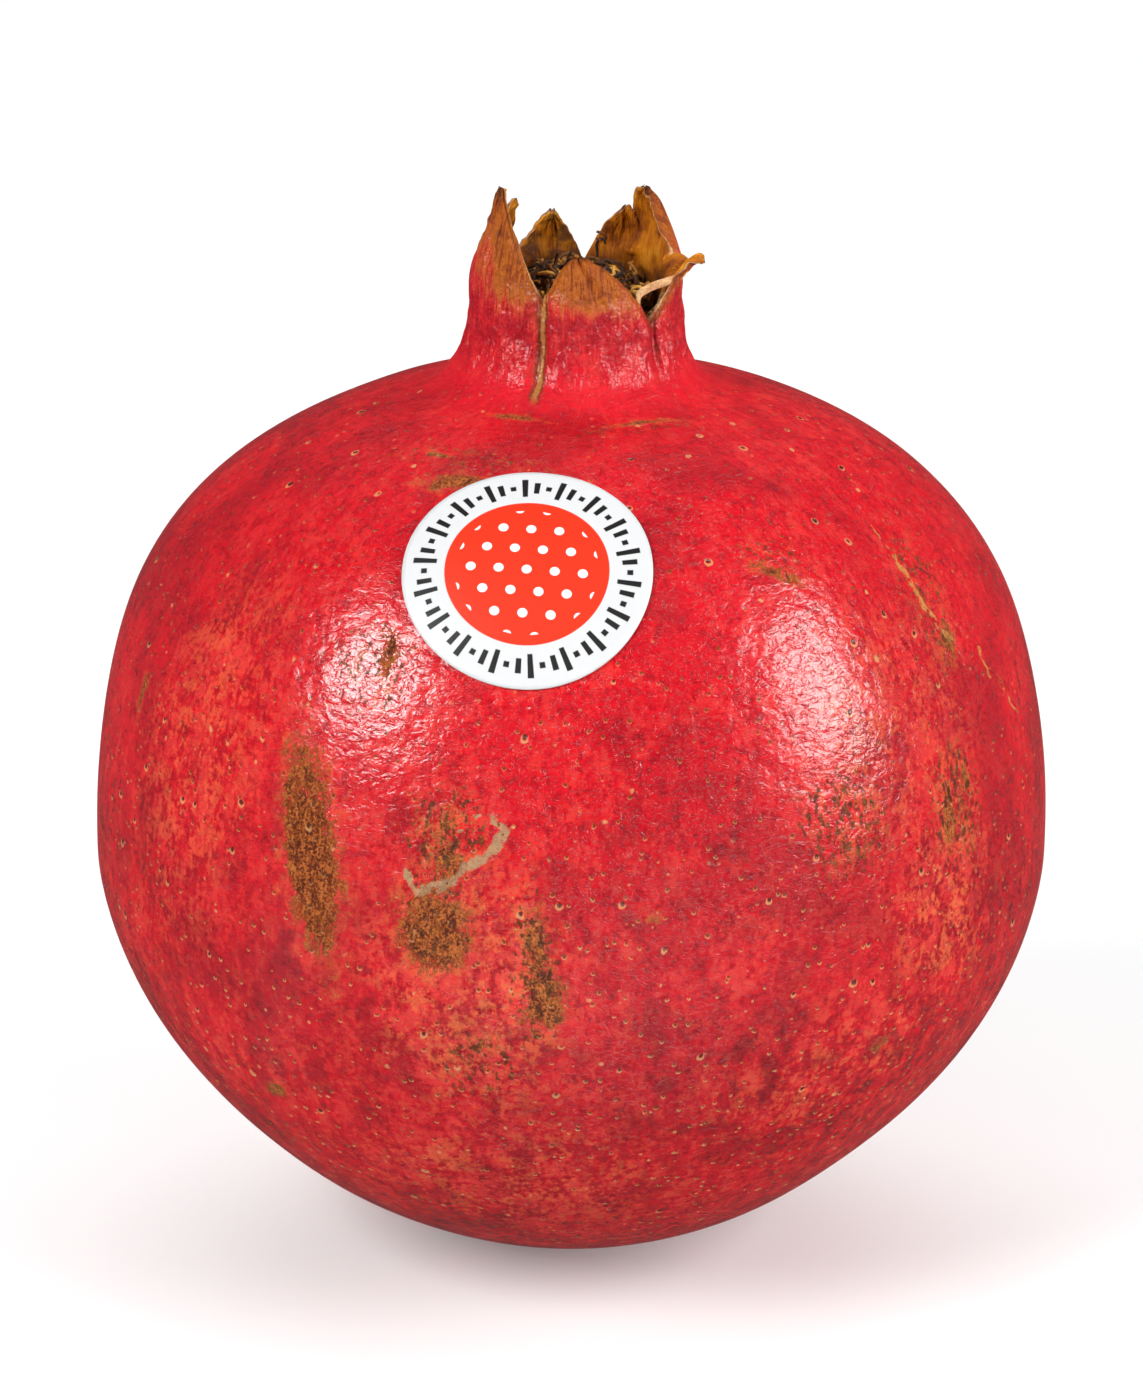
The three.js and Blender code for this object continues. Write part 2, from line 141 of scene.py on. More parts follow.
# The short right lobe's dried margin has rolled in over the mouth, from the notch to its hooked tip.
ROLLED_MARGIN = (
    (6.6, -7.7, 94.6),
    (5.9, -7.2, 96.4),
    (6.0, -6.9, 97.7),
    (7.3, -6.3, 98.3),
    (8.7, -5.6, 98.6),
    (9.9, -4.8, 98.8),
    (10.8, -4.0, 99.5),
)
ROLLED_MARGIN_HALF_WIDTH = 0.42
ROLLED_MARGIN_HALF_THICKNESS = 0.2

# How finely the mesh is divided.
COLUMNS_PER_DEGREE = 0.84
LOBE_ROWS = 34
NECK_ROWS = 14
CUP_ROWS = 8
BODY_STEP = 1.05


def ease(value, start, end):
    """A smooth step from 0 at the start to 1 at the end."""
    share = np.clip((np.asarray(value, float) - start) / (end - start), 0, 1)
    return share * share * (3 - 2 * share)


def mix(a, b, share):
    """What lies between a and b at a share of the way."""
    return a + (b - a) * share


def on_circle(angle, radius, height):
    """The points at an angle from the front, towards the right, at a radius and a height."""
    turn = np.radians(angle)
    spots = np.broadcast_arrays(radius * np.sin(turn), -radius * np.cos(turn), height)
    return np.stack(spots, -1).astype(float)


def near_turn(angle, other):
    """The same angle, within half a turn of another."""
    return other + (angle - other + 180) % 360 - 180


def dome_height(radius):
    """The height of the dome and neck where they have this radius."""
    dome = DOME_HEIGHT * (1 - (radius / WIDEST_RADIUS) ** DOME_ROUNDNESS) ** (1 / DOME_ROUNDNESS)
    return WIDEST_HEIGHT + dome + NECK_FLARE * (NECK_RADIUS / radius) ** NECK_FLARE_POWER


NECK_TOP = dome_height(NECK_RADIUS)


def body_radius(height):
    """The even radius of the body, without its neck."""
    above = height - WIDEST_HEIGHT
    reach = np.where(above > 0, DOME_HEIGHT, BOWL_DEPTH)
    power = np.where(above > 0, DOME_ROUNDNESS, BOWL_ROUNDNESS)
    return WIDEST_RADIUS * np.maximum(0, 1 - (abs(above) / reach) ** power) ** (1 / power)


def valley(angle, height):
    """How deep the rind lies between its chambers, as a share of the radius."""
    wave = (1 - np.cos(np.radians(angle - FIRST_CHAMBER_ANGLE) * CHAMBERS)) / 2
    uneven = 1 + VALLEY_UNEVENNESS * np.sin(np.radians(2 * angle + 40))
    depth = mix(VALLEY_AT_WIDEST, VALLEY_AT_SHOULDER, ease(height, WIDEST_HEIGHT, 80))
    return wave * uneven * depth * ease(height, 0, 14) * (1 - ease(height, 80, NECK_TOP - 2))


def seam(angle, height):
    """How deep the neck lies below the nearest notch between lobes."""
    away = np.min([abs(near_turn(lobe["start"], angle) - angle) for lobe in LOBES], axis=0)
    fade = ease(height, NECK_TOP - SEAM_LENGTH, NECK_TOP + 1)
    return SEAM_DEPTH * fade * np.exp(-((away / SEAM_WIDTH) ** 2))


def rough(points, size, seed=0):
    """Smooth noise from -1 to 1 at each point, with lumps of about the given size."""
    flat = np.asarray(points, float).reshape(-1, 3) / size + seed * 7.31
    return np.array([noise.noise(spot) for spot in flat.tolist()]).reshape(np.shape(points)[:-1])


def swelling(even):
    """How far the rind's soft lumps stand out, at even points of the fruit."""
    height = even[..., 2]
    return SWELL * rough(even, SWELL_SIZE) * ease(height, 0.5, 12) * (1 - 0.7 * ease(height, 78, 90))


def skin_radius(angle, height):
    """The radius of the body, with its valleys and lumps."""
    radius = body_radius(height)
    return radius * (1 - valley(angle, height)) + swelling(on_circle(angle, radius, height))


def wrinkling(even):
    """How far the skin of the neck stands out, in pleats that run up it."""
    pleats = abs(rough(even * (1, 1, 0.35), 1.6, 3)) + 0.5 * abs(rough(even * (1, 1, 0.5), 0.8, 8))
    return NECK_WRINKLES * (pleats - 0.25)


def skin_point(angle, radius, height):
    """A point of the rind, on the ring with that radius and height."""
    even = on_circle(angle, radius, height)
    lumps = swelling(even)
    wrinkles = wrinkling(even) * ease(height, NECK_TOP - 8, NECK_TOP)
    # the rind folds into a low welt at the foot of the neck, on the front
    facing = np.clip(np.cos(np.radians(angle - WELT_ANGLE)), 0, 1)
    welt = WELT_DEPTH * np.exp(-(((height - WELT_HEIGHT) / WELT_WIDTH) ** 2)) * facing
    out = radius * (1 - valley(angle, height)) - seam(angle, height) + lumps + wrinkles + welt
    return on_circle(angle, out, height)


def outline():
    """The rings of the rind from the stem scar to the top of the neck, about evenly spaced."""
    scar = np.array(STEM_SCAR[1:])
    foot = math.acos((WIDEST_HEIGHT / BOWL_DEPTH) ** (BOWL_ROUNDNESS / 2))
    turn = np.linspace(foot, math.pi / 2, 400)
    bowl = np.stack(
        (
            WIDEST_RADIUS * np.sin(turn) ** (2 / BOWL_ROUNDNESS),
            WIDEST_HEIGHT - BOWL_DEPTH * np.maximum(0, np.cos(turn)) ** (2 / BOWL_ROUNDNESS),
        ),
        -1,
    )
    last = math.acos((NECK_RADIUS / WIDEST_RADIUS) ** (DOME_ROUNDNESS / 2))
    radius = WIDEST_RADIUS * np.cos(np.linspace(0, last, 900)[1:]) ** (2 / DOME_ROUNDNESS)
    dome = np.stack((radius, dome_height(radius)), -1)
    path = np.concatenate((scar, bowl, dome))
    steps = np.linalg.norm(np.diff(path, axis=0), axis=1)
    # steps of about a millimetre on the body, and half of that at the scar and up the neck
    middle = (path[1:] + path[:-1]) / 2
    fine = 1 + 1.1 * (1 - ease(middle[:, 0], 6, 12)) * (middle[:, 1] < 20) + 1.2 * ease(middle[:, 1], 84, 88)
    way = np.concatenate(([0], np.cumsum(steps * fine)))
    even = np.linspace(0, way[-1], int(way[-1] / BODY_STEP))
    return np.stack([np.interp(even, way, path[:, i]) for i in (0, 1)], -1)


def rim_height(lobe, across):
    """The height of the rim below a lobe, which runs from its own notch to the next lobe's."""
    following = LOBES[(LOBES.index(lobe) + 1) % len(LOBES)]
    return mix(lobe["base"], following["base"], ease(across, -1, 1))


def spine(lobe, along):
    """How far out and up a lobe's middle line has come."""
    share = (np.arange(400) + 0.5) / 400
    heading = np.radians(
        lobe["lean"] * ease(share, 0, 0.3) + lobe["bend"] * share + lobe["curl"] * ease(share, 0.65, 1)
    )
    marks = np.arange(401) / 400
    way = [np.concatenate(([0], np.cumsum(f(heading)))) * lobe["length"] / 400 for f in (np.sin, np.cos)]
    return np.interp(along, marks, way[0]), np.interp(along, marks, way[1])


def lobe_point(lobe, across, along):
    """A point on the outer face of a lobe: across from -1 to 1 between its notches, along from rim to tip."""
    base_angle = (lobe["start"] + lobe["end"]) / 2
    half_span = (lobe["end"] - lobe["start"]) / 2
    angle = mix(base_angle, near_turn(lobe["tip"], base_angle), along**LOBE_DRIFT)
    taper = mix(LOBE_TIP_SHARE, 1, (1 - along ** lobe["full"]) ** lobe["blunt"])
    half_width = RIM_RADIUS * math.radians(half_span) * taper
    fold = np.where(across < 0, *lobe["fold"])
    turn = np.radians(mix(half_span, fold, ease(along, 0, 0.7)))
    sideways = half_width * np.sin(across * turn) / turn
    inwards = half_width * (1 - np.cos(across * turn)) / turn
    out, up = spine(lobe, along)
    level = mix(rim_height(lobe, across), rim_height(lobe, 0), ease(along, 0, 0.6))
    point = on_circle(angle, RIM_RADIUS + out - inwards, level + up)
    point += on_circle(angle + 90, 1, 0) * sideways[..., None]
    edge_angle = base_angle + across * half_span
    dip = seam(edge_angle, NECK_TOP + 1) * (1 - ease(along, 0, 0.35))
    return point - on_circle(edge_angle, 1, 0) * dip[..., None]


def lobe_faces(lobe, across, along):
    """Outer and inner face of a lobe, dried into ribs and creases, with a crumpled thin margin."""
    step = 0.01
    ends = [lobe_point(lobe, np.clip(across + way, -1, 1), along) for way in (-step, step)]
    sides = [lobe_point(lobe, across, np.clip(along + way, 0, 1)) for way in (-step, step)]
    facing = np.cross(ends[1] - ends[0], sides[1] - sides[0])
    facing /= np.linalg.norm(facing, axis=-1, keepdims=True)
    edge_angle = (lobe["start"] + lobe["end"] + across * (lobe["end"] - lobe["start"])) / 2
    normal = mix(on_circle(edge_angle, 1, 0), facing, ease(along, 0, 0.3)[..., None])
    normal /= np.linalg.norm(normal, axis=-1, keepdims=True)
    outer = lobe_point(lobe, across, along)
    seed = LOBES.index(lobe) + 1
    ways = np.stack(np.broadcast_arrays(across * 5, along * 2.2, seed * 3.7), -1)
    margin = abs(across) ** 6 * ease(along, 0.05, 0.4)
    off_middle = across + 0.12 * rough(ways * (0, 1, 1), 1, 5)
    crease = LOBE_CREASE * np.exp(-((off_middle / 0.1) ** 2)) * ease(along, 0.15, 0.5)
    ribs = LOBE_RIBS * rough(ways * (1, 0.6, 1), 0.8, seed) * ease(along, 0.02, 0.4)
    ripple = LOBE_RIPPLE * rough(ways * (0.1, 5, 1), 1.1, seed + 3) * margin
    knob = LOBE_KNOB * ease(along, 0.9, 0.97) * rough(ways * (2, 6, 1), 1, seed)
    outer = outer + normal * (ribs + ripple + knob - crease)[..., None]
    thick = mix(WALL, LOBE_THICKNESS, ease(along, 0, 0.55)) * (1 - 0.5 * across**4 * ease(along, 0, 0.3))
    thick = thick * (1 - 0.3 * ease(along, 0.9, 1))
    thick = thick + LOBE_UNEVENNESS * rough(ways * (1.5, 3, 1), 0.9, seed + 9) * ease(along, 0.1, 0.4)
    return outer, outer - normal * thick[..., None]


class Shell:
    """Rows of points joined by bands of faces. Each point carries what the skin's material reads there."""

    def __init__(self):
        self.points = []
        self.faces = []
        self.count = 0

    def row(self, points, *marks):
        """Adds points with their marks and gives their numbers."""
        marks = np.broadcast_arrays(*marks, points[:, 0])[:-1]
        self.points.append(np.column_stack((points, *marks)))
        self.count += len(points)
        return np.arange(self.count - len(points), self.count)

    def band(self, lower, upper, closed=True):
        """Joins two rows by quads, which face outwards where the rows run to the right, seen from outside."""
        count = len(lower) if closed else len(lower) - 1
        first = np.arange(count)
        second = (first + 1) % len(lower)
        self.faces += np.stack((lower[first], lower[second], upper[second], upper[first]), -1).tolist()

    def fan(self, centre, ring):
        """Closes a ring with triangles about its centre."""
        self.faces += [(centre, a, b) for a, b in zip(ring.tolist(), np.roll(ring, -1).tolist())]

    def strand(self, path, wide, thick, *marks):
        """A flattened strand along a path of points, rounded over at both ends."""
        path = np.array(path, float)
        marks_at = np.arange(len(path))
        fine = np.linspace(0, len(path) - 1, 8 * len(path))
        line = np.stack([np.interp(fine, marks_at, path[:, i]) for i in range(3)], -1)
        for _ in range(6):
            line[1:-1] = (line[:-2] + line[1:-1] * 2 + line[2:]) / 4
        way = np.gradient(line, axis=0)
        way /= np.linalg.norm(way, axis=1, keepdims=True)
        side = np.cross(way, (0, 0, 1.0))
        side /= np.maximum(np.linalg.norm(side, axis=1, keepdims=True), 1e-6)
        front = np.cross(side, way)
        turn = np.linspace(0, 2 * math.pi, 13)[:-1, None]
        below = None
        for i, share in enumerate(np.linspace(-1, 1, len(line))):
            size = math.sqrt(max(0.02, 1 - share**6))
            ring = line[i] + size * (front[i] * wide * np.cos(turn) + side[i] * thick * np.sin(turn))
            level = self.row(ring, *marks)
            if below is None:
                self.faces.append(level[::-1].tolist())
            else:
                self.band(below, level)
            below = level
        self.faces.append(below.tolist())

    def piece(self, name, *marks):
        """Makes the object, with its marks as named attributes, and moves the crown to its side."""
        cloud = np.concatenate(self.points)
        cloud[:, 0] += CROWN_SHIFT * ease(cloud[:, 2], CROWN_SHIFT_FROM, NECK_TOP)
        mesh = bpy.data.meshes.new(name)
        mesh.from_pydata((cloud[:, :3] * MM).tolist(), [], self.faces)
        for i, mark in enumerate(marks):
            values = cloud[:, 3 + i].astype(np.float32)
            mesh.attributes.new(mark, "FLOAT", "POINT").data.foreach_set("value", values)
        mesh.polygons.foreach_set("use_smooth", np.ones(len(mesh.polygons), bool))
        mesh.update()
        made = bpy.data.objects.new(name, mesh)
        bpy.context.collection.objects.link(made)
        return made


def columns(lobe):
    """How many columns of points rise into a lobe."""
    return round((lobe["end"] - lobe["start"]) * COLUMNS_PER_DEGREE)


def raise_lobe(shell, lobe, below):
    """Closed rings from the rim to the tip of a lobe, over its outer face and down its inner one."""
    count = columns(lobe)
    own = LOBES.index(lobe) / 10
    across = np.linspace(-1, 1, count + 1)
    for share in np.linspace(0, 1, LOBE_ROWS + 1)[1:]:
        along = np.full(count + 1, 1 - (1 - share) ** 1.25)
        outer, inner = lobe_faces(lobe, across, along)
        middle = (outer + inner) / 2
        bulge = np.stack((middle[0] - middle[1], middle[-1] - middle[-2]))
        bulge *= LOBE_EDGE_BULGE / np.maximum(np.linalg.norm(bulge, axis=1, keepdims=True), 1e-6)
        left, right = middle[:1] + bulge[:1], middle[-1:] + bulge[1:]
        level = np.concatenate(
            (
                shell.row(outer, along, across, 0, own),
                shell.row(right, along[:1], 1, 0.5, own),
                shell.row(inner[::-1], along, across[::-1], 1, own),
                shell.row(left, along[:1], -1, 0.5, own),
            )
        )
        shell.band(below, level)
        below = level
    outside, inside = below[: count + 1], below[count + 2 : -1][::-1]
    shell.band(outside, inside, closed=False)
    shell.faces += [(outside[-1], below[count + 1], inside[-1]), (inside[0], below[-1], outside[0])]


def make_rind():
    shell = Shell()
    across = np.concatenate([2 * np.arange(columns(lobe)) / columns(lobe) - 1 for lobe in LOBES])
    first = np.cumsum([0] + [columns(lobe) for lobe in LOBES])
    angles, rims, own = (np.empty(len(across)) for _ in range(3))
    for i, lobe in enumerate(LOBES):
        span = slice(first[i], first[i + 1])
        angles[span] = mix(lobe["start"], lobe["end"], (across[span] + 1) / 2)
        rims[span] = rim_height(lobe, across[span])
        own[span] = i / 10

    rows = [shell.row(skin_point(angles, *ring), 0, across, 0, own) for ring in outline()]
    shell.fan(shell.row(np.array([[0, 0, STEM_SCAR[0][1]]]), 0, 0, 0, 0)[0], rows[0][::-1])
    lumps = SWELL * 0.3 * rough(on_circle(angles, RIM_RADIUS, NECK_TOP), SWELL_SIZE)
    for share in np.linspace(0, 1, NECK_ROWS + 1)[1:]:
        height = mix(NECK_TOP, rims, share)
        wrinkles = wrinkling(on_circle(angles, RIM_RADIUS, height)) * (1 - share**2)
        out = RIM_RADIUS + lumps * (1 - share) - seam(angles, height) + wrinkles
        rows.append(shell.row(on_circle(angles, out, height), 0, across, 0, own))
    for lower, upper in zip(rows, rows[1:]):
        shell.band(lower, upper)

    middle_rim = shell.row(on_circle(angles, RIM_RADIUS - 0.5 * WALL, rims), 0, across, 0.5, own)
    inner_rim = shell.row(on_circle(angles, RIM_RADIUS - WALL, rims), 0, across, 1, own)
    for i, lobe in enumerate(LOBES):
        picked = np.arange(first[i], first[i + 1] + 1) % len(angles)
        ring = (rows[-1][picked], middle_rim[picked[-1:]], inner_rim[picked[::-1]], middle_rim[picked[:1]])
        raise_lobe(shell, lobe, np.concatenate(ring))

    above = inner_rim
    for share in np.linspace(0, 1, CUP_ROWS + 1)[1:]:
        height = mix(rims, CUP_FLOOR + CUP_CORNER, share)
        row = shell.row(on_circle(angles, CUP_RADIUS, height), 0, across, 1, own)
        shell.band(above, row)
        above = row
    floor_edge = shell.row(on_circle(angles, CUP_RADIUS - CUP_CORNER, CUP_FLOOR), 0, across, 1, own)
    shell.band(above, floor_edge)
    shell.fan(shell.row(np.array([[0, 0, CUP_FLOOR]]), 0, 0, 1, 0)[0], floor_edge)
    shell.strand(ROLLED_MARGIN, ROLLED_MARGIN_HALF_WIDTH, ROLLED_MARGIN_HALF_THICKNESS, 0.5, 0, 0.5, 0)
    return shell.piece("rind", "along", "across", "inside", "lobe")


rind = make_rind()


class Wire:
    """A value, colour or vector on its way between the nodes of a material."""

    def __init__(self, tree, socket):
        self.tree = tree
        self.socket = socket

    def node(self, kind, settings=None, output=0, **inputs):
        """Adds a node of a kind with its settings, then fills its inputs with numbers or other wires."""
        made = self.tree.nodes.new("ShaderNode" + kind)
        for name, value in (settings or {}).items():
            if name == "stops":
                for spare in list(made.color_ramp.elements)[1:]:
                    made.color_ramp.elements.remove(spare)
                made.color_ramp.elements[0].position = value[0][0]
                made.color_ramp.elements[0].color = value[0][1]
                for place, colour in value[1:]:
                    made.color_ramp.elements.new(place).color = colour
            else:
                setattr(made, name, value)
        for name, value in inputs.items():
            key = int(name[1:]) if name[0] == "_" else name.replace("_", " ")
            if isinstance(value, Wire):
                self.tree.links.new(value.socket, made.inputs[key])
            else:
                made.inputs[key].default_value = value
        return Wire(self.tree, made.outputs[output])

    def maths(self, operation, *others):
        numbered = {f"_{i}": value for i, value in enumerate((self, *others))}
        return self.node("Math", {"operation": operation}, **numbered)

    def vector(self, operation, *others, output=0):
        numbered = {f"_{i}": value for i, value in enumerate((self, *others))}
        return self.node("VectorMath", {"operation": operation}, output, **numbered)

    def __add__(self, other):
        return self.maths("ADD", other)

    __radd__ = __add__

    def __mul__(self, other):
        if self.socket.type in ("VECTOR", "RGBA"):
            return self.node("VectorMath", {"operation": "SCALE"}, _0=self, Scale=other)
        return self.maths("MULTIPLY", other)

    __rmul__ = __mul__

    def __sub__(self, other):
        return self.maths("SUBTRACT", other)

    def __rsub__(self, other):
        return self.node("Math", {"operation": "SUBTRACT"}, _0=other, _1=self)

    def __truediv__(self, other):
        return self.maths("DIVIDE", other)

    def __pow__(self, other):
        return self.maths("POWER", other)

    def __abs__(self):
        return self.maths("ABSOLUTE")

    def scaled(self, x, y, z):
        """This place with its axes scaled, so that a pattern on it is squeezed or drawn out."""
        return self.node("Mapping", Vector=self, Scale=(x, y, z))

    def over(self, low, high):
        """0 below low, 1 above high, and a smooth step between; falls instead where low is the larger."""
        if low > high:
            return 1 - self.over(high, low)
        smooth = {"interpolation_type": "SMOOTHSTEP"}
        return self.node("MapRange", smooth, Value=self, From_Min=low, From_Max=high)

    def tint(self, colour, share):
        """This colour, with another laid over it by a share."""
        return self.node("Mix", {"data_type": "RGBA"}, 2, _0=share, _6=self, _7=colour)

    def noise(self, scale, detail=3, roughness=0.5, distortion=0.0):
        """Smooth noise, about 0.5, at this place."""
        shape = dict(Scale=scale, Detail=detail, Roughness=roughness, Distortion=distortion)
        return self.node("TexNoise", Vector=self, **shape)

    def cells(self, scale):
        """Distance from the middle of the nearest cell, and a random number of that cell."""
        away = self.node("TexVoronoi", output="Distance", Vector=self, Scale=scale)
        return away, Wire(self.tree, away.socket.node.outputs["Color"])


def begin(name):
    """A new material, its surface shader, and the place on the piece in millimetres."""
    made = bpy.data.materials.new(name)
    made.use_nodes = True
    tree = made.node_tree
    shader = tree.nodes["Principled BSDF"]
    place = Wire(tree, None).node("TexCoord", output="Object").scaled(1 / MM, 1 / MM, 1 / MM)
    return made, shader, place


def mark(place, name):
    """What the piece's mesh says here under a name."""
    return place.node("Attribute", {"attribute_name": name}, "Fac")


def dress(made, shader, colour, roughness, height=None, depth=0.0, **fixed):
    """Fills a material's shader: what varies, a relief of some depth in mm, and sockets with fixed values."""
    tree = made.node_tree
    for name, value in fixed.items():
        shader.inputs[name.replace("_", " ")].default_value = value
    for socket, value in (("Base Color", colour), ("Roughness", roughness)):
        if isinstance(value, Wire):
            tree.links.new(value.socket, shader.inputs[socket])
        else:
            shader.inputs[socket].default_value = value
    if height is not None:
        bump = height.node("Bump", Strength=1.0, Distance=depth * MM, Height=height)
        tree.links.new(bump.socket, shader.inputs["Normal"])
    return made


def dry_out(made, shader, share, **fixed):
    """Where the rind has dried, its gloss gives way to that of dull dry tissue of the same colour."""
    tree = made.node_tree
    dull = tree.nodes.new("ShaderNodeBsdfPrincipled")
    for name, value in fixed.items():
        dull.inputs[name.replace("_", " ")].default_value = value
    for socket in ("Base Color", "Normal"):
        tree.links.new(shader.inputs[socket].links[0].from_socket, dull.inputs[socket])
    both = share.node("MixShader", Fac=share)
    tree.links.new(shader.outputs["BSDF"], both.socket.node.inputs[1])
    tree.links.new(dull.outputs["BSDF"], both.socket.node.inputs[2])
    tree.links.new(both.socket, tree.nodes["Material Output"].inputs["Surface"])
    return made


def rgb(red, green, blue):
    """A colour as a picture shows it, from 0 to 255, for a shader."""
    levels = [c / 255 for c in (red, green, blue)]
    return tuple(c / 12.92 if c <= 0.04045 else ((c + 0.055) / 1.055) ** 2.4 for c in levels) + (1.0,)


def lie(angle, height, tilt):
    """The middle of a mark on the rind, and the ways across it, up it and out of it."""
    radius = float(body_radius(np.array(height)))
    above = float(body_radius(np.array(height + 0.5))) - float(body_radius(np.array(height - 0.5)))
    across = on_circle(angle + 90, 1, 0)
    up = on_circle(angle, above, 1.0)
    up /= np.linalg.norm(up)
    out = np.cross(across, up)
    lean = math.radians(tilt)
    right = across * math.cos(lean) + up * math.sin(lean)
    high = up * math.cos(lean) - across * math.sin(lean)
    return on_circle(angle, radius, height), np.stack((right, high, out), 1)


CRIMSON = rgb(204, 0, 22)
DEEP_RED = rgb(160, 0, 20)
DARK_RED = rgb(108, 4, 16)
CORAL = rgb(222, 52, 46)
ORANGE = rgb(222, 106, 52)
TAN = rgb(206, 150, 96)
BARK = rgb(112, 54, 10)
DARK_BARK = rgb(62, 34, 20)
OCHRE = rgb(190, 108, 34)
PALE_EDGE = rgb(226, 180, 130)
RUBBED = rgb(172, 134, 96)
CHIPPED = rgb(206, 112, 50)
CRACKED = rgb(196, 134, 66)
GOLDEN = rgb(206, 140, 60)
ROSE_RED = rgb(216, 14, 36)
SEAM_BROWN = rgb(96, 46, 20)
SEAM_TAN = rgb(190, 124, 62)
GREY_BROWN = rgb(84, 50, 36)
BARK_STOPS = (
    (0.4, rgb(54, 22, 6)),
    (0.48, rgb(112, 50, 8)),
    (0.55, rgb(162, 82, 12)),
    (0.66, rgb(204, 128, 56)),
)
WOOD_STOPS = (
    (0.34, rgb(84, 30, 8)),
    (0.46, rgb(138, 60, 8)),
    (0.56, rgb(176, 92, 20)),
    (0.68, rgb(108, 40, 10)),
)
LINING_STOPS = (
    (0.34, rgb(92, 40, 8)),
    (0.44, rgb(160, 82, 6)),
    (0.54, rgb(206, 120, 10)),
    (0.68, rgb(228, 158, 46)),
)
PITH_STOPS = ((0.42, rgb(58, 34, 14)), (0.5, rgb(140, 104, 52)), (0.58, rgb(222, 194, 142)))

# Between these heights the skin changes as the neck rises into the crown, and down in the cup.
NECK_RED = (86.5, 89)
NECK_DEEP_RED = (89, 94)
NECK_CORAL = (88, 91)
NECK_WRINKLED = (86, 94)
NECK_DULL = (84.5, 88)
SEAM_CORK = (88, 89)
CROWN_DRY = (94.4, 98.6)
# inside the crown the skin is painted darker between these heights: painted shade down in the cup
CUP_DARK = (99.5, 95)
STEM_SCAR_RADII = (6.2, 4.4)
STEM_SCAR_HEIGHTS = (8, 5)

STREAK_RADIUS = 47
STREAK_CLIMB = 0.3
PORES_PER_MM = 0.3
SPECKS_PER_MM = 0.85
PITH_PLACE = (7.4, -5.9, 96.0)
SKIN_RELIEF = 0.26

MARK_DEPTH = 9
NO_MARK = -3.0

# Cork scars: angle, height, half width, half height, tilt and strength. Those on the back are like the rest.
SCARS = (
    (-31.0, 52.2, 2.7, 8.8, 11, 1.0),
    (-15.6, 46.4, 3.2, 3.6, 10, 0.95),
    (-14.0, 53.4, 2.4, 3.4, 0, 0.5),
    (-4.0, 45.4, 1.3, 6.0, 4, 0.6),
    (-3.0, 40.0, 1.9, 3.6, 0, 0.85),
    (-10.0, 35.0, 3.4, 2.4, 20, 0.2),
    (31.5, 76.6, 3.2, 0.9, -32, 0.7),
    (-23.6, 83.6, 4.4, 1.6, 10, 0.6),
    (-24.2, 70.9, 1.6, 3.6, 5, 0.45),
    (51.0, 52.4, 1.5, 3.8, 0, 0.6),
    (55.5, 55.4, 0.9, 4.0, 14, 0.5),
    (60.2, 67.6, 1.3, 2.2, -24, 0.65),
    (-41.1, 25.6, 1.7, 1.0, 30, 0.8),
    (9.9, 47.9, 1.1, 0.9, 0, 0.5),
    (39.9, 31.2, 1.8, 1.2, 0, 0.4),
    (-21.3, 86.9, 2.4, 0.5, 0, 0.75),
    (-32.7, 84.9, 1.6, 0.5, 0, 0.7),
    (24.2, 86.7, 3.4, 0.4, 0, 0.7),
    (-67.6, 61.0, 0.8, 2.6, 0, 0.7),
    (150, 50, 3.0, 8.0, -12, 0.8),
    (205, 38, 5.2, 3.0, 20, 0.4),
    (110, 62, 2.2, 4.5, 30, 0.5),
    (-120, 46, 3.0, 5.5, 14, 0.5),
)

# A thin scar where a twig rubbed and tore the rind: angle, height and half width along it.
RUB = (
    (-18.9, 51.6, 0.3),
    (-17.8, 50.2, 0.5),
    (-15.4, 50.6, 0.42),
    (-12.8, 51.8, 0.52),
    (-10.6, 53.2, 0.58),
    (-9.0, 54.4, 0.42),
    (-8.1, 56.2, 0.32),
    (-9.3, 57.2, 0.27),
    (-11.4, 56.9, 0.25),
    (-13.2, 55.8, 0.2),
)

# Thin corky lines on the right, where the growing rind split: angle, height and half width along each.
SPLITS = (
    ((57.0, 77.6, 0.12), (58.4, 74.0, 0.2), (58.0, 70.2, 0.22), (60.8, 67.0, 0.3), (61.8, 64.4, 0.14)),
    ((66.0, 66.0, 0.12), (67.6, 62.4, 0.24), (70.6, 60.2, 0.18), (73.2, 57.0, 0.12)),
)

# Zones that are peppered with dark specks: angle, height, half width, half height, tilt and strength.
PEPPERED = (
    (33.0, 55.2, 5.6, 6.2, 0, 0.9),
    (53.0, 53.0, 4.4, 6.6, 8, 1.0),
    (-14.6, 55.6, 4.0, 5.0, 0, 0.9),
    (-15.6, 47.0, 4.6, 5.6, 0, 0.6),
    (-4.0, 43.0, 2.8, 9.0, 3, 0.8),
    (-11.0, 33.0, 5.0, 4.4, 0, 0.6),
    (-26.0, 69.6, 4.2, 4.6, 0, 0.7),
    (60.0, 72.0, 4.0, 9.0, -14, 0.6),
    (33.0, 78.0, 4.6, 2.4, -30, 0.5),
    (-25.0, 85.0, 9.0, 2.0, 0, 0.5),
    (22.0, 86.6, 7.0, 1.2, 0, 0.5),
    (165, 56, 6.0, 8.0, 20, 0.8),
    (-140, 40, 6.0, 6.0, -10, 0.8),
)
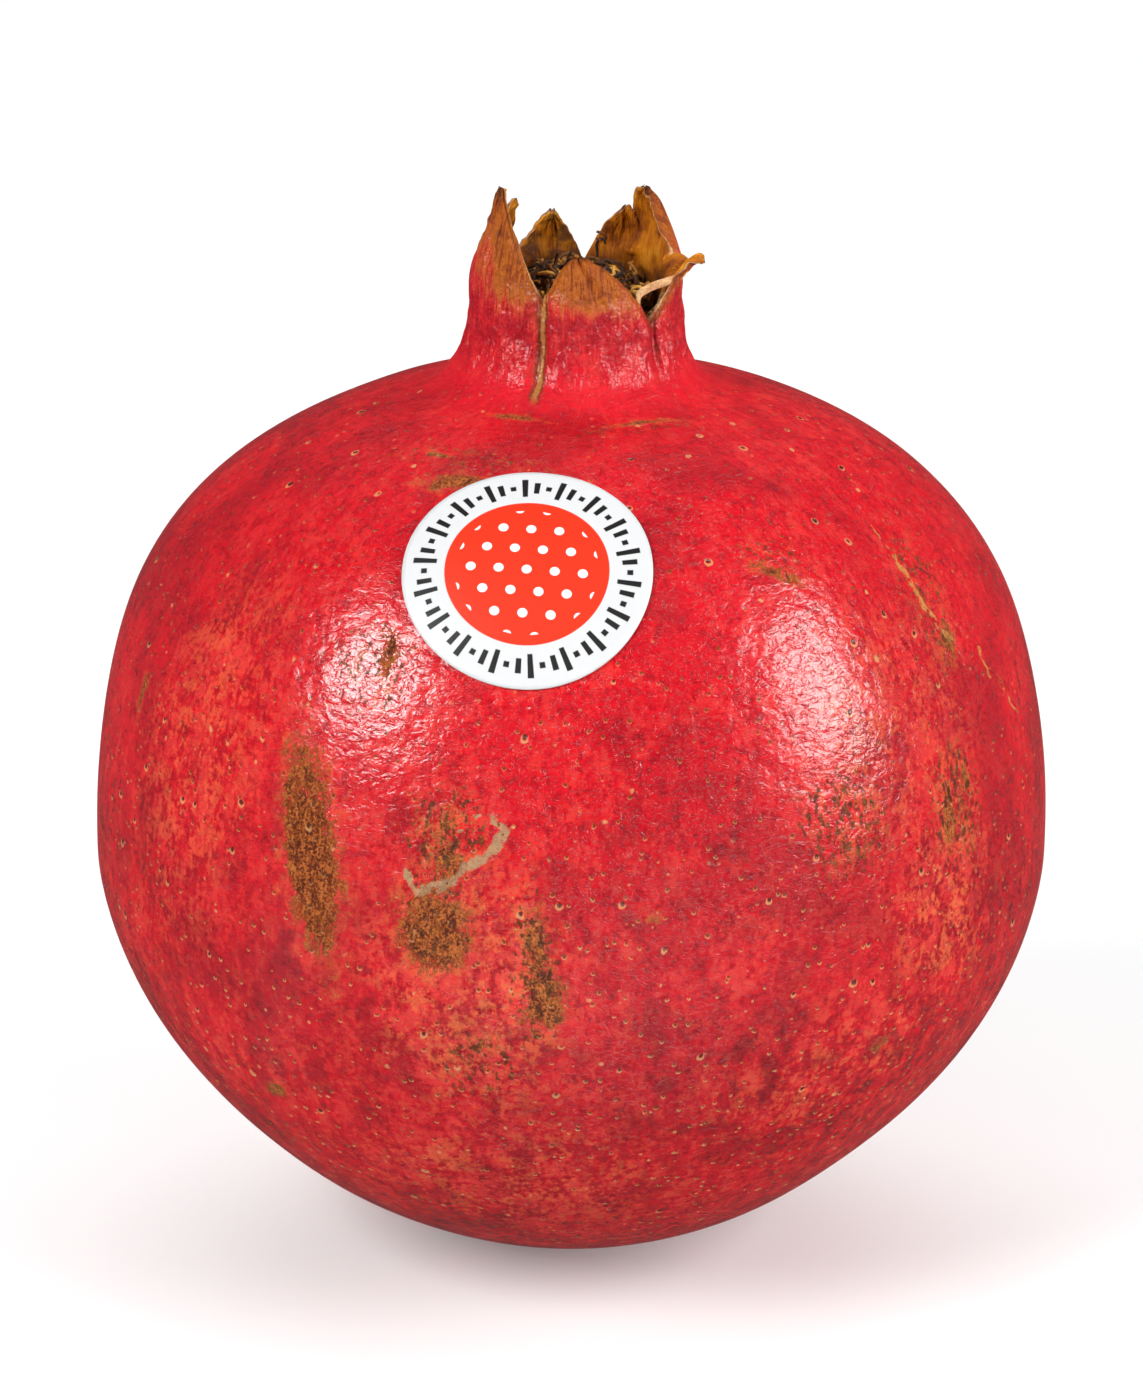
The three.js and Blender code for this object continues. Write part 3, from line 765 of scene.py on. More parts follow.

# Where the rind has blushed less and is warm and pale; on its right side this pale is also painted light.
# These rows and the next are like those of the scars.
PALE_ZONES = (
    (-12.0, 40.0, 9.0, 14.0, 6, 0.9),
    (-9.0, 18.0, 14.0, 10.0, 0, 0.6),
    (-52.0, 60.0, 9.0, 20.0, -6, 0.55),
    (50.0, 44.0, 8.0, 9.0, 0, 0.9),
    (36.0, 30.0, 14.0, 6.0, 20, 0.45),
    (44.0, 62.0, 12.0, 12.0, 0, 0.5),
    (8.0, 87.8, 10.0, 1.6, 0, 0.5),
    (100, 40, 12.0, 16.0, 0, 0.6),
    (190, 60, 14.0, 12.0, 20, 0.6),
    (-110, 30, 14.0, 10.0, 0, 0.6),
)

# Where it has blushed most, and is deep red; in the middle of the front and low down this is also painted
# shade.
DEEP_ZONES = (
    (12.0, 52.0, 10.0, 17.0, -6, 0.9),
    (18.0, 31.0, 13.0, 10.0, 20, 0.9),
    (40.0, 26.0, 14.0, 9.0, 20, 0.9),
    (-32.0, 38.0, 9.0, 12.0, 10, 0.6),
    (62.0, 36.0, 8.0, 14.0, 10, 0.6),
    (150, 66, 12.0, 14.0, 0, 0.7),
    (-150, 52, 14.0, 12.0, 0, 0.7),
)


def strip(place, path):
    """Distance from a line along the rind, which is 1 at the line's edge."""
    spots = []
    for angle, height, _ in path:
        spots.append(on_circle(angle, float(skin_radius(np.array(angle), np.array(height))), height))
    nearest = None
    for start, end, (_, _, wide), (_, _, narrow) in zip(spots, spots[1:], path, path[1:]):
        way = end - start
        local = place.vector("SUBTRACT", tuple(start))
        share = local.vector("DOT_PRODUCT", tuple(way / (way @ way)), output="Value")
        share = share.maths("MAXIMUM", 0.0).maths("MINIMUM", 1.0)
        foot = place.node("VectorMath", {"operation": "SCALE"}, _0=tuple(way), Scale=share)
        away = local.vector("SUBTRACT", foot).vector("LENGTH", output="Value")
        away = away / (wide + share * (narrow - wide))
        nearest = away if nearest is None else nearest.maths("MINIMUM", away)
    return nearest


def lay(piece, name, marks, weigh):
    """Stores the most that any of these marks weighs at each point of a piece."""
    mesh = piece.data
    points = np.array([corner.co for corner in mesh.vertices]) / MM
    most = np.full(len(points), NO_MARK)
    for angle, height, wide, high, tilt, strength in marks:
        middle, axes = lie(angle, height, tilt)
        away = np.linalg.norm((points - middle) @ axes / (wide, high, MARK_DEPTH), axis=1)
        most = np.maximum(most, weigh(away, strength))
    mesh.attributes.new(name, "FLOAT", "POINT").data.foreach_set("value", most.astype(np.float32))


def softly(away, strength):
    """A mark that fades out from its middle."""
    return strength * (1 - ease(away, 0.35, 1.35))


def sharply(away, strength):
    """A mark with an edge: more than 0 inside it, and less and less outside."""
    return 0.2 + strength - away


lay(rind, "pale", PALE_ZONES, softly)
lay(rind, "deep", DEEP_ZONES, softly)
lay(rind, "peppered", PEPPERED, softly)
lay(rind, "scarred", SCARS, sharply)


def rind_fields(place):
    """Where a point is on the rind, what its mesh says there, and the noises that its colours share."""
    at = SimpleNamespace(place=place)
    split = place.node("SeparateXYZ", Vector=place)
    at.x, at.y, at.z = (Wire(place.tree, split.socket.node.outputs[i]) for i in range(3))
    at.radius = (at.x * at.x + at.y * at.y) ** 0.5
    # streaks follow the meridians: fine round the fruit, slow up it
    half = (at.z - WIDEST_HEIGHT).maths("SIGN")
    climb = (at.z - WIDEST_HEIGHT) + half * (WIDEST_RADIUS - at.radius)
    east = at.x / at.radius * STREAK_RADIUS
    north = at.y / at.radius * STREAK_RADIUS
    at.girdle = place.node("CombineXYZ", X=east, Y=north, Z=climb * STREAK_CLIMB)

    at.along = mark(place, "along")
    at.across = mark(place, "across")
    at.inside = mark(place, "inside")

    at.broad = place.noise(0.03, 3, 0.55)
    at.blotch = place.noise(0.12, 3, 0.6)
    at.patch = place.noise(0.35, 3, 0.65)
    at.streak = at.girdle.noise(0.4, 3, 0.6)
    at.fine = at.girdle.noise(1.3, 3, 0.65)
    at.grain = place.noise(1.6, 4, 0.7)
    at.mottle = place.noise(0.5, 3, 0.55)
    at.flecks = at.mottle * 0.3 + at.patch * 0.15 + at.streak * 0.15 + at.fine * 0.15 + at.grain * 0.25
    at.pale = mark(place, "pale")
    at.deep = mark(place, "deep")
    at.stain = place.noise(0.8, 3, 0.6)
    return at


def blush(at):
    """Crimson, deeper where it has blushed most, with coral and orange flecks where it has blushed least; the
    deep zones also carry painted shade and the pale zones painted light.
    """
    skin = at.place.node("RGB")
    skin.socket.default_value = CRIMSON
    skin = skin.tint(DEEP_RED, (at.broad * 0.5 + at.blotch * 0.5).over(0.53, 0.4) * 0.7)
    # the deep zones: real blush, and on the front also painted shade
    skin = skin.tint(DEEP_RED, at.deep * 0.4)
    at.low = (1 - (at.z / 75)).over(0, 0.7)
    zone = (at.broad * 0.5 + at.blotch * 0.2 + at.streak * 0.3 + at.low * 0.04).over(0.46, 0.6)
    # the pale zones: real pallor, and on the right side also painted light
    pallor = (at.flecks + at.pale * 0.05 - at.deep * 0.035).over(0.485, 0.565)
    skin = skin.tint(CORAL, pallor * (0.16 + 0.42 * zone + 0.6 * at.pale))
    dark = (at.mottle * 0.3 + at.fine * 0.2 + at.grain * 0.5).over(0.49, 0.4)
    skin = skin.tint(DARK_RED, dark * (0.5 + 0.2 * at.deep))
    warm = at.place.noise(0.3, 3, 0.6) * 0.3 + at.stain * 0.25 + at.grain * 0.25 + at.fine * 0.2
    skin = skin.tint(ORANGE, warm.over(0.49, 0.57) * (0.12 * at.low + 0.65 * at.pale))
    shade = (at.streak * 0.4 + at.patch * 0.6).over(0.5, 0.41)
    return skin.tint(DARK_RED, shade * (at.low * 0.25 + at.deep * 0.4))


def scar(at, skin):
    """Cork where the rind was rubbed or split, broken up at its edges."""
    place = at.place
    at.torn = place.noise(0.55, 3, 0.75)
    fibre = at.girdle.noise(1.7, 3, 0.7)
    at.speckle = place.noise(3.6, 3, 0.7)
    near = mark(place, "scarred")
    ragged = near + (at.torn - 0.5) * 1.7 + (fibre - 0.5) * 1.0 + (at.speckle - 0.5) * 1.4
    halo = (near + (at.torn - 0.5) * 3).over(-0.45, 0.3)
    at.cork = ragged.over(0.1, 0.24)
    bark_share = at.speckle * 0.65 + at.stain * 0.25 + fibre * 0.1
    at.bark = place.node("ValToRGB", {"stops": BARK_STOPS}, Fac=bark_share)
    skin = skin.tint(ORANGE, halo * 0.3)
    skin = skin.tint(at.bark, at.cork * 0.94)
    chips = (fibre * 0.5 + at.speckle * 0.5 + halo * 0.1).over(0.6, 0.65) * halo
    skin = skin.tint(CHIPPED, chips * 0.6)

    at.peppered = mark(place, "peppered")
    upright = place.scaled(1, 1, 0.55)
    grains = (upright.noise(1.7, 3, 0.7) + at.peppered * 0.11).over(0.62, 0.65)
    at.pepper = grains * at.peppered.over(0.1, 0.4)
    warm = (at.speckle * 0.5 + at.torn * 0.5 + at.peppered * 0.06).over(0.56, 0.6)
    skin = skin.tint(ORANGE, warm * at.peppered * 0.4)
    skin = skin.tint(at.bark.tint(DARK_BARK, 0.7), at.pepper * 0.9)

    # lines in the rind run crookedly, so they are looked up a little off the place
    crooked = place.node("TexNoise", None, 1, Vector=place, Scale=0.45, Detail=2.0)
    crooked = place.vector("ADD", crooked.vector("SUBTRACT", (0.5, 0.5, 0.5)) * 2.6)
    rub = (strip(crooked, RUB) + (at.torn - 0.5) * 1.4 + (at.speckle - 0.5) * 1.8).over(1.1, 0.75)
    skin = skin.tint(RUBBED, rub * (0.75 + 0.25 * at.speckle.over(0.4, 0.5)))
    split_away = strip(crooked, SPLITS[0]).maths("MINIMUM", strip(crooked, SPLITS[1]))
    cracked = (split_away + (at.torn - 0.5) * 3 + (at.speckle - 0.5) * 2).over(1.7, 1.1)
    return skin.tint(CRACKED, cracked * at.stain.over(0.42, 0.5) * 0.85)


def fold_skin(at, skin):
    """Fine leathery folds that lie across the fruit, over low dimples, with painted shade in their creases.
    """
    folded = at.place.scaled(0.8, 0.8, 1.35)
    at.crinkle = at.place.noise(0.4, 2, 0.5)
    at.fold = folded.noise(1.1, 2, 0.55, 0.8)
    at.crease = abs(at.fold - 0.5).over(0.022, 0.0)
    hatch = folded.noise(2.3, 2, 0.55)
    at.hatch = abs(hatch - 0.5).over(0.02, 0.0)
    # the creases and fine hatching are painted darker red: painted shade in them, with some dirt
    skin = skin.tint(DARK_RED, (at.crease * 0.3 + at.hatch * 0.25) * (1 - at.inside))
    golden = (at.crease + at.hatch) * (at.torn * 0.5 + at.stain * 0.5).over(0.5, 0.54) * at.peppered
    return skin.tint(GOLDEN, golden * 0.6)


def open_pores(at, skin):
    """The rind's pores: small tan rims with dark middles, each rim pushed to one side as a painted lit edge,
    and finer specks that crowd low down, with painted glints beside them.
    """
    place = at.place
    wobble = place.node("TexNoise", None, 1, Vector=place, Scale=1.4, Detail=1.0) * 0.4
    wobble = place.vector("ADD", wobble)
    pore, size = wobble.cells(PORES_PER_MM)
    size = 0.55 + size.node("SeparateColor", Color=size) * 0.85
    at.pore = pore / size
    # each pore's tan rim is drawn as a crescent to one side: a painted lit edge over the real tan rim
    lit_side = wobble.vector("ADD", (0.04, 0, 0.17))
    ring = (lit_side.cells(PORES_PER_MM)[0] / size).over(0.115, 0.085) * (1 - at.pore.over(0.085, 0.065))
    skin = skin.tint(TAN, ring * 0.75)
    skin = skin.tint(DARK_BARK, at.pore.over(0.07, 0.05) * 0.9)
    many, chosen = wobble.cells(SPECKS_PER_MM)
    chosen = chosen.node("SeparateColor", Color=chosen).maths("GREATER_THAN", 0.52 - at.low * 0.27)
    dots = many.over(0.17, 0.11) * chosen
    # painted glints: a tan crescent on the lit side of each fine speck
    lit_side = wobble.vector("ADD", (0.02, 0, 0.1)).cells(SPECKS_PER_MM)[0]
    glint = lit_side.over(0.21, 0.16) * (1 - many.over(0.18, 0.14)) * chosen
    skin = skin.tint(TAN, glint * (0.3 + 0.5 * at.low))
    return skin.tint(BARK, dots * 0.85)


def tighten_neck(at, skin):
    """The neck is wrinkled where the rind tightens round the crown, with darker hollows and a corky seam."""
    place = at.place
    at.neck = at.z.over(*NECK_WRINKLED)
    at.streaks = at.girdle.noise(0.9, 3, 0.7)
    skin = skin.tint(ROSE_RED, at.z.over(*NECK_RED) * 0.6)
    skin = skin.tint(DEEP_RED, at.z.over(*NECK_DEEP_RED) * (0.55 + 0.45 * at.flecks.over(0.54, 0.44)))
    streaked = (at.streaks * 0.5 + at.mottle * 0.5).over(0.5, 0.6)
    skin = skin.tint(CORAL, at.z.over(*NECK_CORAL) * streaked * 0.5)
    at.cleft = abs(at.across).over(0.86, 0.99) * at.neck * (1 - at.inside)
    at.drift = place.noise(0.5, 3, 0.6)
    skin = skin.tint(BARK, at.cleft * at.drift.over(0.42, 0.55) * 0.75)
    # the seam runs down from the left front notch
    turn = (at.x - CROWN_SHIFT).maths("ARCTAN2", 0 - at.y) - math.radians(LOBES[0]["start"])
    aside = abs(turn + (at.torn - 0.5) * 0.12)
    seam_cork = aside.over(0.06, 0.03) * at.z.over(*SEAM_CORK) * (1 - at.inside)
    skin = skin.tint(SEAM_BROWN, seam_cork * 0.8)
    return skin.tint(SEAM_TAN, aside.over(0.03, 0.01) * seam_cork * 0.8)


def dry_crown(at, skin):
    """The crown dries from red at the neck to ochre and brown at the tips, golden brown inside, with painted
    shade down in the cup.
    """
    place = at.place
    slow = place.noise(0.2, 3, 0.6)
    dried = at.along * 1.1 + (at.streaks - 0.5) * 1.7 + (slow - 0.5) * 1.2 + at.across * at.across * 0.22
    own = mark(place, "lobe")
    dried = dried + own.over(0.05, 0.02) * (0.25 - at.across * at.across * 0.4)
    dried = dried + own.over(0.55, 0.58) * (at.across.over(0.1, 0.4) * 0.4 - 0.15)
    dried = dried * (at.z + (at.drift - 0.5) * 6).over(*CROWN_DRY)
    turning = dried.over(0.02, 0.3)
    at.dried = dried.over(0.2, 0.5)
    skin = skin.tint(OCHRE, turning * 0.55)
    wood = place.node("ValToRGB", {"stops": WOOD_STOPS}, Fac=at.streaks * 0.6 + at.stain * 0.4)
    skin = skin.tint(wood, at.dried)
    skin = skin.tint(DARK_BARK, (at.along + (at.drift - 0.5) * 0.3).over(0.84, 1.0) * 0.7)

    lining_share = place.noise(0.3, 3, 0.6) * 0.7 + at.streaks * 0.3 + at.along * 0.12 - 0.04
    lining = place.node("ValToRGB", {"stops": LINING_STOPS}, Fac=lining_share)
    skin = skin.tint(lining, at.inside.over(0.55, 0.8))
    # the rear lobe is the greyest
    grey = own.over(0.35, 0.38) * own.over(0.45, 0.42) * at.inside.over(0.55, 0.8)
    skin = skin.tint(GREY_BROWN, grey * at.drift.over(0.38, 0.56) * 0.8)
    # painted shade: the lining darkens the deeper it lies in the cup
    deep = (at.z + (at.drift - 0.5) * 3).over(*CUP_DARK)
    skin = skin.tint(DARK_BARK, at.inside.over(0.55, 0.8) * deep * 0.7)
    pith = place.vector("SUBTRACT", PITH_PLACE).vector("LENGTH", output="Value").over(2.6, 1.7)
    specks = place.node("ValToRGB", {"stops": PITH_STOPS}, Fac=place.noise(2.6, 3, 0.7))
    skin = skin.tint(specks, pith * at.inside.over(0.55, 0.8) * 0.85)
    margin = at.inside.over(0.2, 0.5) * (1 - at.inside.over(0.5, 0.8)) * at.along.over(0.0, 0.1)
    return skin.tint(PALE_EDGE, margin * (0.55 + 0.4 * at.drift.over(0.42, 0.55)))


def rind_skin():
    made, shader, place = begin("rind_skin")
    at = rind_fields(place)
    skin = blush(at)
    for layer in (scar, fold_skin, open_pores, tighten_neck, dry_crown):
        skin = layer(at, skin)
    # the cut stem and the corky ring round it
    stem = (at.radius + (at.drift - 0.5) * 1.5).over(*STEM_SCAR_RADII) * at.z.over(*STEM_SCAR_HEIGHTS)
    skin = skin.tint(at.bark, stem)

    dry = (at.cork.maths("MAXIMUM", at.pepper) * 0.9).maths("MAXIMUM", at.dried)
    dry = dry.maths("MAXIMUM", stem.maths("MAXIMUM", at.inside))
    dry = dry.maths("MAXIMUM", at.z.over(*NECK_DULL) * 0.6)
    roughness = 0.22 + at.neck * 0.05 + (at.grain - 0.5) * 0.2
    ripple = place.scaled(1, 1, 0.6).noise(1.15, 1, 0.5, 1.1)
    height = at.crinkle * 0.9 + at.fold * 0.45 - at.crease * 0.17 - at.hatch * 0.07
    height = height + at.neck * (1 - at.inside) * (ripple * 1.2 + at.crinkle * 0.3) - at.cleft * 1.2
    height = height + (at.inside * 1.5 + at.along) * at.streaks + at.cork * (at.speckle * 1.8 - 0.5)
    height = height - at.pore.over(0.065, 0.035) * 0.4
    dress(made, shader, skin, roughness, height, SKIN_RELIEF, IOR=1.5, Specular_IOR_Level=0.95)
    return dry_out(made, shader, dry, Roughness=0.52, IOR=1.45, Specular_IOR_Level=0.25)


rind.data.materials.append(rind_skin())
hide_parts("fruit")
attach(rind, "root")

# The stamens
# A tuft of dried stamens fills the mouth of the crown. They are thin brown and golden filaments that have
# curled up, some still with their shrivelled anthers, on a cushion of dark dry pith.

CUSHION_RADIUS = 8.3
CUSHION_LUMPS = 0.7
CUSHION_ROWS = 14
CUSHION_FOOT = 92.0
CUSHION_EDGE_HEIGHT = 95.1
CUSHION_TOP = 98.1
TUFT_RADIUS = 8.0
TUFT_TOP = 101.6
FILAMENTS = 760
FILAMENT_RADIUS = 0.17
ANTHER_RADIUS = 0.42

# Each kind of filament is a bit of a helix: turns, width at the foot, width at the head, rise.
FILAMENT_KINDS = (
    (0.6, 0.9, 0.5, 2.2),
    (0.9, 0.7, 0.4, 1.5),
    (1.3, 0.4, 0.7, 1.1),
    (0.7, 0.8, 1.0, 0.7),
    (1.1, 0.65, 0.3, 1.6),
)

# One stiff stamen stands above the rest and hooks over.
HOOKED_STAMEN = (
    (2.2, 5.2, 97.4),
    (2.1, 5.2, 99.2),
    (2.0, 5.1, 100.0),
    (2.3, 5.0, 100.6),
    (2.8, 4.9, 100.5),
    (2.9, 4.9, 100.0),
)
STAMEN_STOPS = (
    (0.0, rgb(38, 22, 12)),
    (0.45, rgb(88, 50, 20)),
    (0.65, rgb(140, 84, 28)),
    (1.0, rgb(216, 158, 66)),
)


def make_cushion():
    shell = Shell()
    angles = np.arange(0, 360, 5.0)
    radius = CUSHION_RADIUS - 0.1
    rows = [shell.row(on_circle(angles, radius, CUSHION_FOOT))]
    for share in np.linspace(1, 0, CUSHION_ROWS + 1)[:-1]:
        even = on_circle(angles, radius * share, mix(CUSHION_TOP, CUSHION_EDGE_HEIGHT, share**2))
        lumps = CUSHION_LUMPS * rough(even, 1.6, 4) * (1 - share**6)
        rows.append(shell.row(even + np.stack((0 * lumps, 0 * lumps, lumps - 0.3), -1)))
    for lower, upper in zip(rows, rows[1:]):
        shell.band(lower, upper)
    shell.fan(shell.row(np.array([[0, 0, CUSHION_TOP - 0.3]]))[0], rows[-1])
    shell.fan(shell.row(np.array([[0, 0, CUSHION_FOOT]]))[0], rows[0][::-1])
    shell.strand(HOOKED_STAMEN, 0.13, 0.17)
    return shell.piece("stamens_tuft")


class Graph:
    """The nodes of a geometry tree, added one at a time with their settings and inputs."""

    def __init__(self, name, **sizes):
        self.tree = bpy.data.node_groups.new(name, "GeometryNodeTree")
        self.tree.interface.new_socket("Geometry", in_out="INPUT", socket_type="NodeSocketGeometry")
        self.tree.interface.new_socket("Geometry", in_out="OUTPUT", socket_type="NodeSocketGeometry")
        self.keys = {}
        for size, kind in sizes.items():
            made = self.tree.interface.new_socket(size, in_out="INPUT", socket_type="NodeSocket" + kind)
            self.keys[size] = made.identifier
        self.given = self.tree.nodes.new("NodeGroupInput")

    def node(self, kind, settings=None, output=0, **inputs):
        made = self.tree.nodes.new(kind)
        for name, value in (settings or {}).items():
            setattr(made, name, value)
        for name, value in inputs.items():
            key = int(name[1:]) if name[0] == "_" else name.replace("_", " ")
            for item in value if isinstance(value, list) else [value]:
                if isinstance(item, bpy.types.NodeSocket):
                    self.tree.links.new(item, made.inputs[key])
                else:
                    made.inputs[key].default_value = item
        return made.outputs[output]

    def grow(self, piece, result, **values):
        """Runs the tree on a piece and leaves a plain mesh."""
        out = self.tree.nodes.new("NodeGroupOutput")
        self.tree.links.new(result, out.inputs[0])
        modifier = piece.modifiers.new(self.tree.name, "NODES")
        modifier.node_group = self.tree
        for name, value in values.items():
            modifier[self.keys[name]] = value
        state = bpy.context.evaluated_depsgraph_get()
        seen = piece.evaluated_get(state)
        grown = bpy.data.meshes.new_from_object(seen, preserve_all_data_layers=True, depsgraph=state)
        piece.modifiers.remove(modifier)
        piece.data = grown


def filament_kinds(graph, thickness):
    """The kinds of filament and a shrivelled anther, as a bundle of instances to pick from."""
    profile = graph.node("GeometryNodeCurvePrimitiveCircle", Resolution=5, Radius=thickness)
    kinds = []
    for turns, foot, head, rise in FILAMENT_KINDS:
        line = graph.node(
            "GeometryNodeCurveSpiral",
            Resolution=max(10, round(turns * 16)),
            Rotations=turns,
            Start_Radius=foot * MM,
            End_Radius=head * MM,
            Height=rise * MM,
        )
        stalk = graph.node("GeometryNodeCurveToMesh", Curve=line, Profile_Curve=profile, Fill_Caps=True)
        stalk = graph.node("GeometryNodeTransform", Geometry=stalk, Translation=(-foot * MM, 0, -0.3 * MM))
        kinds.append(graph.node("GeometryNodeGeometryToInstance", Geometry=stalk))
    anther = graph.node("GeometryNodeMeshIcoSphere", Radius=ANTHER_RADIUS * MM, Subdivisions=2)
    anther = graph.node(
        "GeometryNodeTransform", Geometry=anther, Scale=(1, 0.6, 1.5), Translation=(0, 0, 0.5 * MM),
    )
    kinds.append(graph.node("GeometryNodeGeometryToInstance", Geometry=anther))
    return graph.node("GeometryNodeJoinGeometry", Geometry=kinds)


def draw_in(graph, whole, reach, top):
    """Nothing of the tuft pushes through the crown: what reaches too far is drawn in."""
    place = graph.node("GeometryNodeInputPosition")
    parts = graph.node("ShaderNodeSeparateXYZ", Vector=place).node
    flat = graph.node("ShaderNodeCombineXYZ", X=parts.outputs[0], Y=parts.outputs[1], Z=0.0)
    far = graph.node("ShaderNodeVectorMath", {"operation": "LENGTH"}, 1, _0=flat)
    share = graph.node("ShaderNodeMath", {"operation": "DIVIDE"}, _0=reach, _1=far)
    share = graph.node("ShaderNodeMath", {"operation": "MINIMUM"}, _0=share, _1=1.0)
    flat = graph.node("ShaderNodeVectorMath", {"operation": "SCALE"}, _0=flat, Scale=share)
    height = graph.node("ShaderNodeMath", {"operation": "MINIMUM"}, _0=parts.outputs[2], _1=top)
    rise = graph.node("ShaderNodeCombineXYZ", X=0.0, Y=0.0, Z=height)
    kept = graph.node("ShaderNodeVectorMath", {"operation": "ADD"}, _0=flat, _1=rise)
    return graph.node("GeometryNodeSetPosition", Geometry=whole, Position=kept)


def grow_tuft(cushion, finish):
    graph = Graph("stamen_tuft", Filaments="Int", Thickness="Float", Seed="Int", Reach="Float", Top="Float")
    size = {output.name: output for output in graph.given.outputs}
    bundle = filament_kinds(graph, size["Thickness"])

    # they grow on the top of the cushion alone
    facing = graph.node("ShaderNodeSeparateXYZ", None, 2, Vector=graph.node("GeometryNodeInputNormal"))
    above = {"data_type": "FLOAT", "operation": "GREATER_THAN"}
    upper = graph.node("FunctionNodeCompare", above, _0=facing, _1=0.5)
    area = math.pi * (CUSHION_RADIUS * MM) ** 2
    density = graph.node("ShaderNodeMath", {"operation": "DIVIDE"}, _0=size["Filaments"], _1=area)
    spread = graph.node(
        "GeometryNodeDistributePointsOnFaces",
        Mesh=size["Geometry"], Selection=upper, Density=density, Seed=size["Seed"],
    )
    turn = graph.node(
        "FunctionNodeRandomValue", {"data_type": "FLOAT_VECTOR"},
        Min=(-1.1, -1.1, 0), Max=(1.1, 1.1, 6.28), Seed=size["Seed"],
    )
    scale = graph.node("FunctionNodeRandomValue", {"data_type": "FLOAT"}, 1, _2=0.6, _3=1.25, Seed=7)
    # the last of the bundle is the anther
    last = len(FILAMENT_KINDS)
    pick = graph.node("FunctionNodeRandomValue", {"data_type": "INT"}, 2, _4=0, _5=last, Seed=3)
    planted = graph.node(
        "GeometryNodeInstanceOnPoints", Points=spread, Instance=bundle, Pick_Instance=True,
        Instance_Index=pick, Rotation=turn, Scale=scale,
    )
    tone = graph.node("FunctionNodeRandomValue", {"data_type": "FLOAT"}, 1, Seed=12)
    planted = graph.node(
        "GeometryNodeStoreNamedAttribute", {"data_type": "FLOAT", "domain": "INSTANCE"},
        Geometry=planted, Name="tone", Value=tone,
    )
    whole = graph.node("GeometryNodeRealizeInstances", Geometry=planted)
    whole = graph.node("GeometryNodeJoinGeometry", Geometry=[whole, size["Geometry"]])
    whole = draw_in(graph, whole, size["Reach"], size["Top"])
    whole = graph.node("GeometryNodeSetMaterial", Geometry=whole, Material=finish)
    graph.grow(
        cushion, whole, Filaments=FILAMENTS, Thickness=FILAMENT_RADIUS * MM, Seed=5,
        Reach=TUFT_RADIUS * MM, Top=TUFT_TOP * MM,
    )


def stamen_finish():
    made, shader, place = begin("dry_stamens")
    tone = mark(place, "tone")
    shade = tone + (place.noise(0.9, 3, 0.6) - 0.5) * 0.7
    colour = place.node("ValToRGB", {"stops": STAMEN_STOPS}, Fac=shade)
    grain = place.noise(5, 3, 0.6)
    return dress(made, shader, colour, 0.62 + grain * 0.2, grain, 0.12, IOR=1.45)


stamens = make_cushion()
grow_tuft(stamens, stamen_finish())
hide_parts("stamens")
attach(stamens, "root")

# The label
# A round sticker of coated paper on the upper front of the rind, printed with an orange-red field of white
# dots inside a white rim with a ring of short black bars. It was pressed on by hand and follows the rind.

LABEL_RADIUS = 11.65
LABEL_ANGLE = -7
LABEL_HEIGHT = 77.6
LABEL_LIFT = 0.05
LABEL_THICKNESS = 0.14
LABEL_WAVES = 0.07
LABEL_RIM_LIFT = 0.1
BARS = 54
BARS_RADIUS = 9.55
BAR_HALF_LENGTH = 0.28
BAR_HALF_LENGTH_STEP = 0.42
BAR_HALF_WIDTH = 0.24
FIELD_RADIUS = 7.6
DOTS_REACH = 6.6
DOT_RADIUS = 0.42
DOT_STEP = 2.6
DOT_ROW = 2.25
PAPER_WHITE = rgb(205, 206, 207)
PRINT_BLACK = rgb(24, 22, 22)
PRINT_RED = rgb(234, 44, 10)
DOT_WHITE = rgb(240, 240, 238)


def pressed(start, inwards):
    """Where each point of a flat patch meets the rind, going straight in."""
    near, far = np.full(len(start), -12.0), np.full(len(start), 14.0)
    for _ in range(22):
        middle = (near + far) / 2
        point = start + inwards * middle[:, None]
        angle = np.degrees(np.arctan2(point[:, 0], -point[:, 1]))
        outside = np.hypot(point[:, 0], point[:, 1]) > skin_radius(angle, point[:, 2])
        near, far = np.where(outside, middle, near), np.where(outside, far, middle)
    return start + inwards * far[:, None]


def make_label():
    middle = on_circle(LABEL_ANGLE, skin_radius(np.array(LABEL_ANGLE), np.array(LABEL_HEIGHT)), LABEL_HEIGHT)
    across, up, out = lie(LABEL_ANGLE, LABEL_HEIGHT, 0)[1].T
    shell = Shell()
    turns = np.radians(np.arange(0, 360, 2.5))
    faces = []
    for lift in (LABEL_LIFT, LABEL_LIFT + LABEL_THICKNESS):
        rings = []
        for share in np.linspace(0, 1, 28)[1:]:
            u = LABEL_RADIUS * share * np.cos(turns)
            v = LABEL_RADIUS * share * np.sin(turns)
            rind_point = pressed(middle + u[:, None] * across + v[:, None] * up, -out)
            wave = LABEL_WAVES * rough(np.stack((u, v, 0 * u), -1), 5, 2) * share + LABEL_RIM_LIFT * share**10
            rings.append(shell.row(rind_point + out * (lift + wave)[:, None], u, v))
        centre = shell.row(pressed(middle[None], -out) + out * lift, 0, 0)[0]
        faces.append((centre, rings))
    (back_centre, back), (front_centre, front) = faces
    shell.fan(front_centre, front[0])
    shell.fan(back_centre, back[0][::-1])
    for inner, outer in zip(front, front[1:]):
        shell.band(outer, inner)
    for inner, outer in zip(back, back[1:]):
        shell.band(inner, outer)
    shell.band(back[-1], front[-1])
    return shell.piece("label_sticker", "label_x", "label_y")


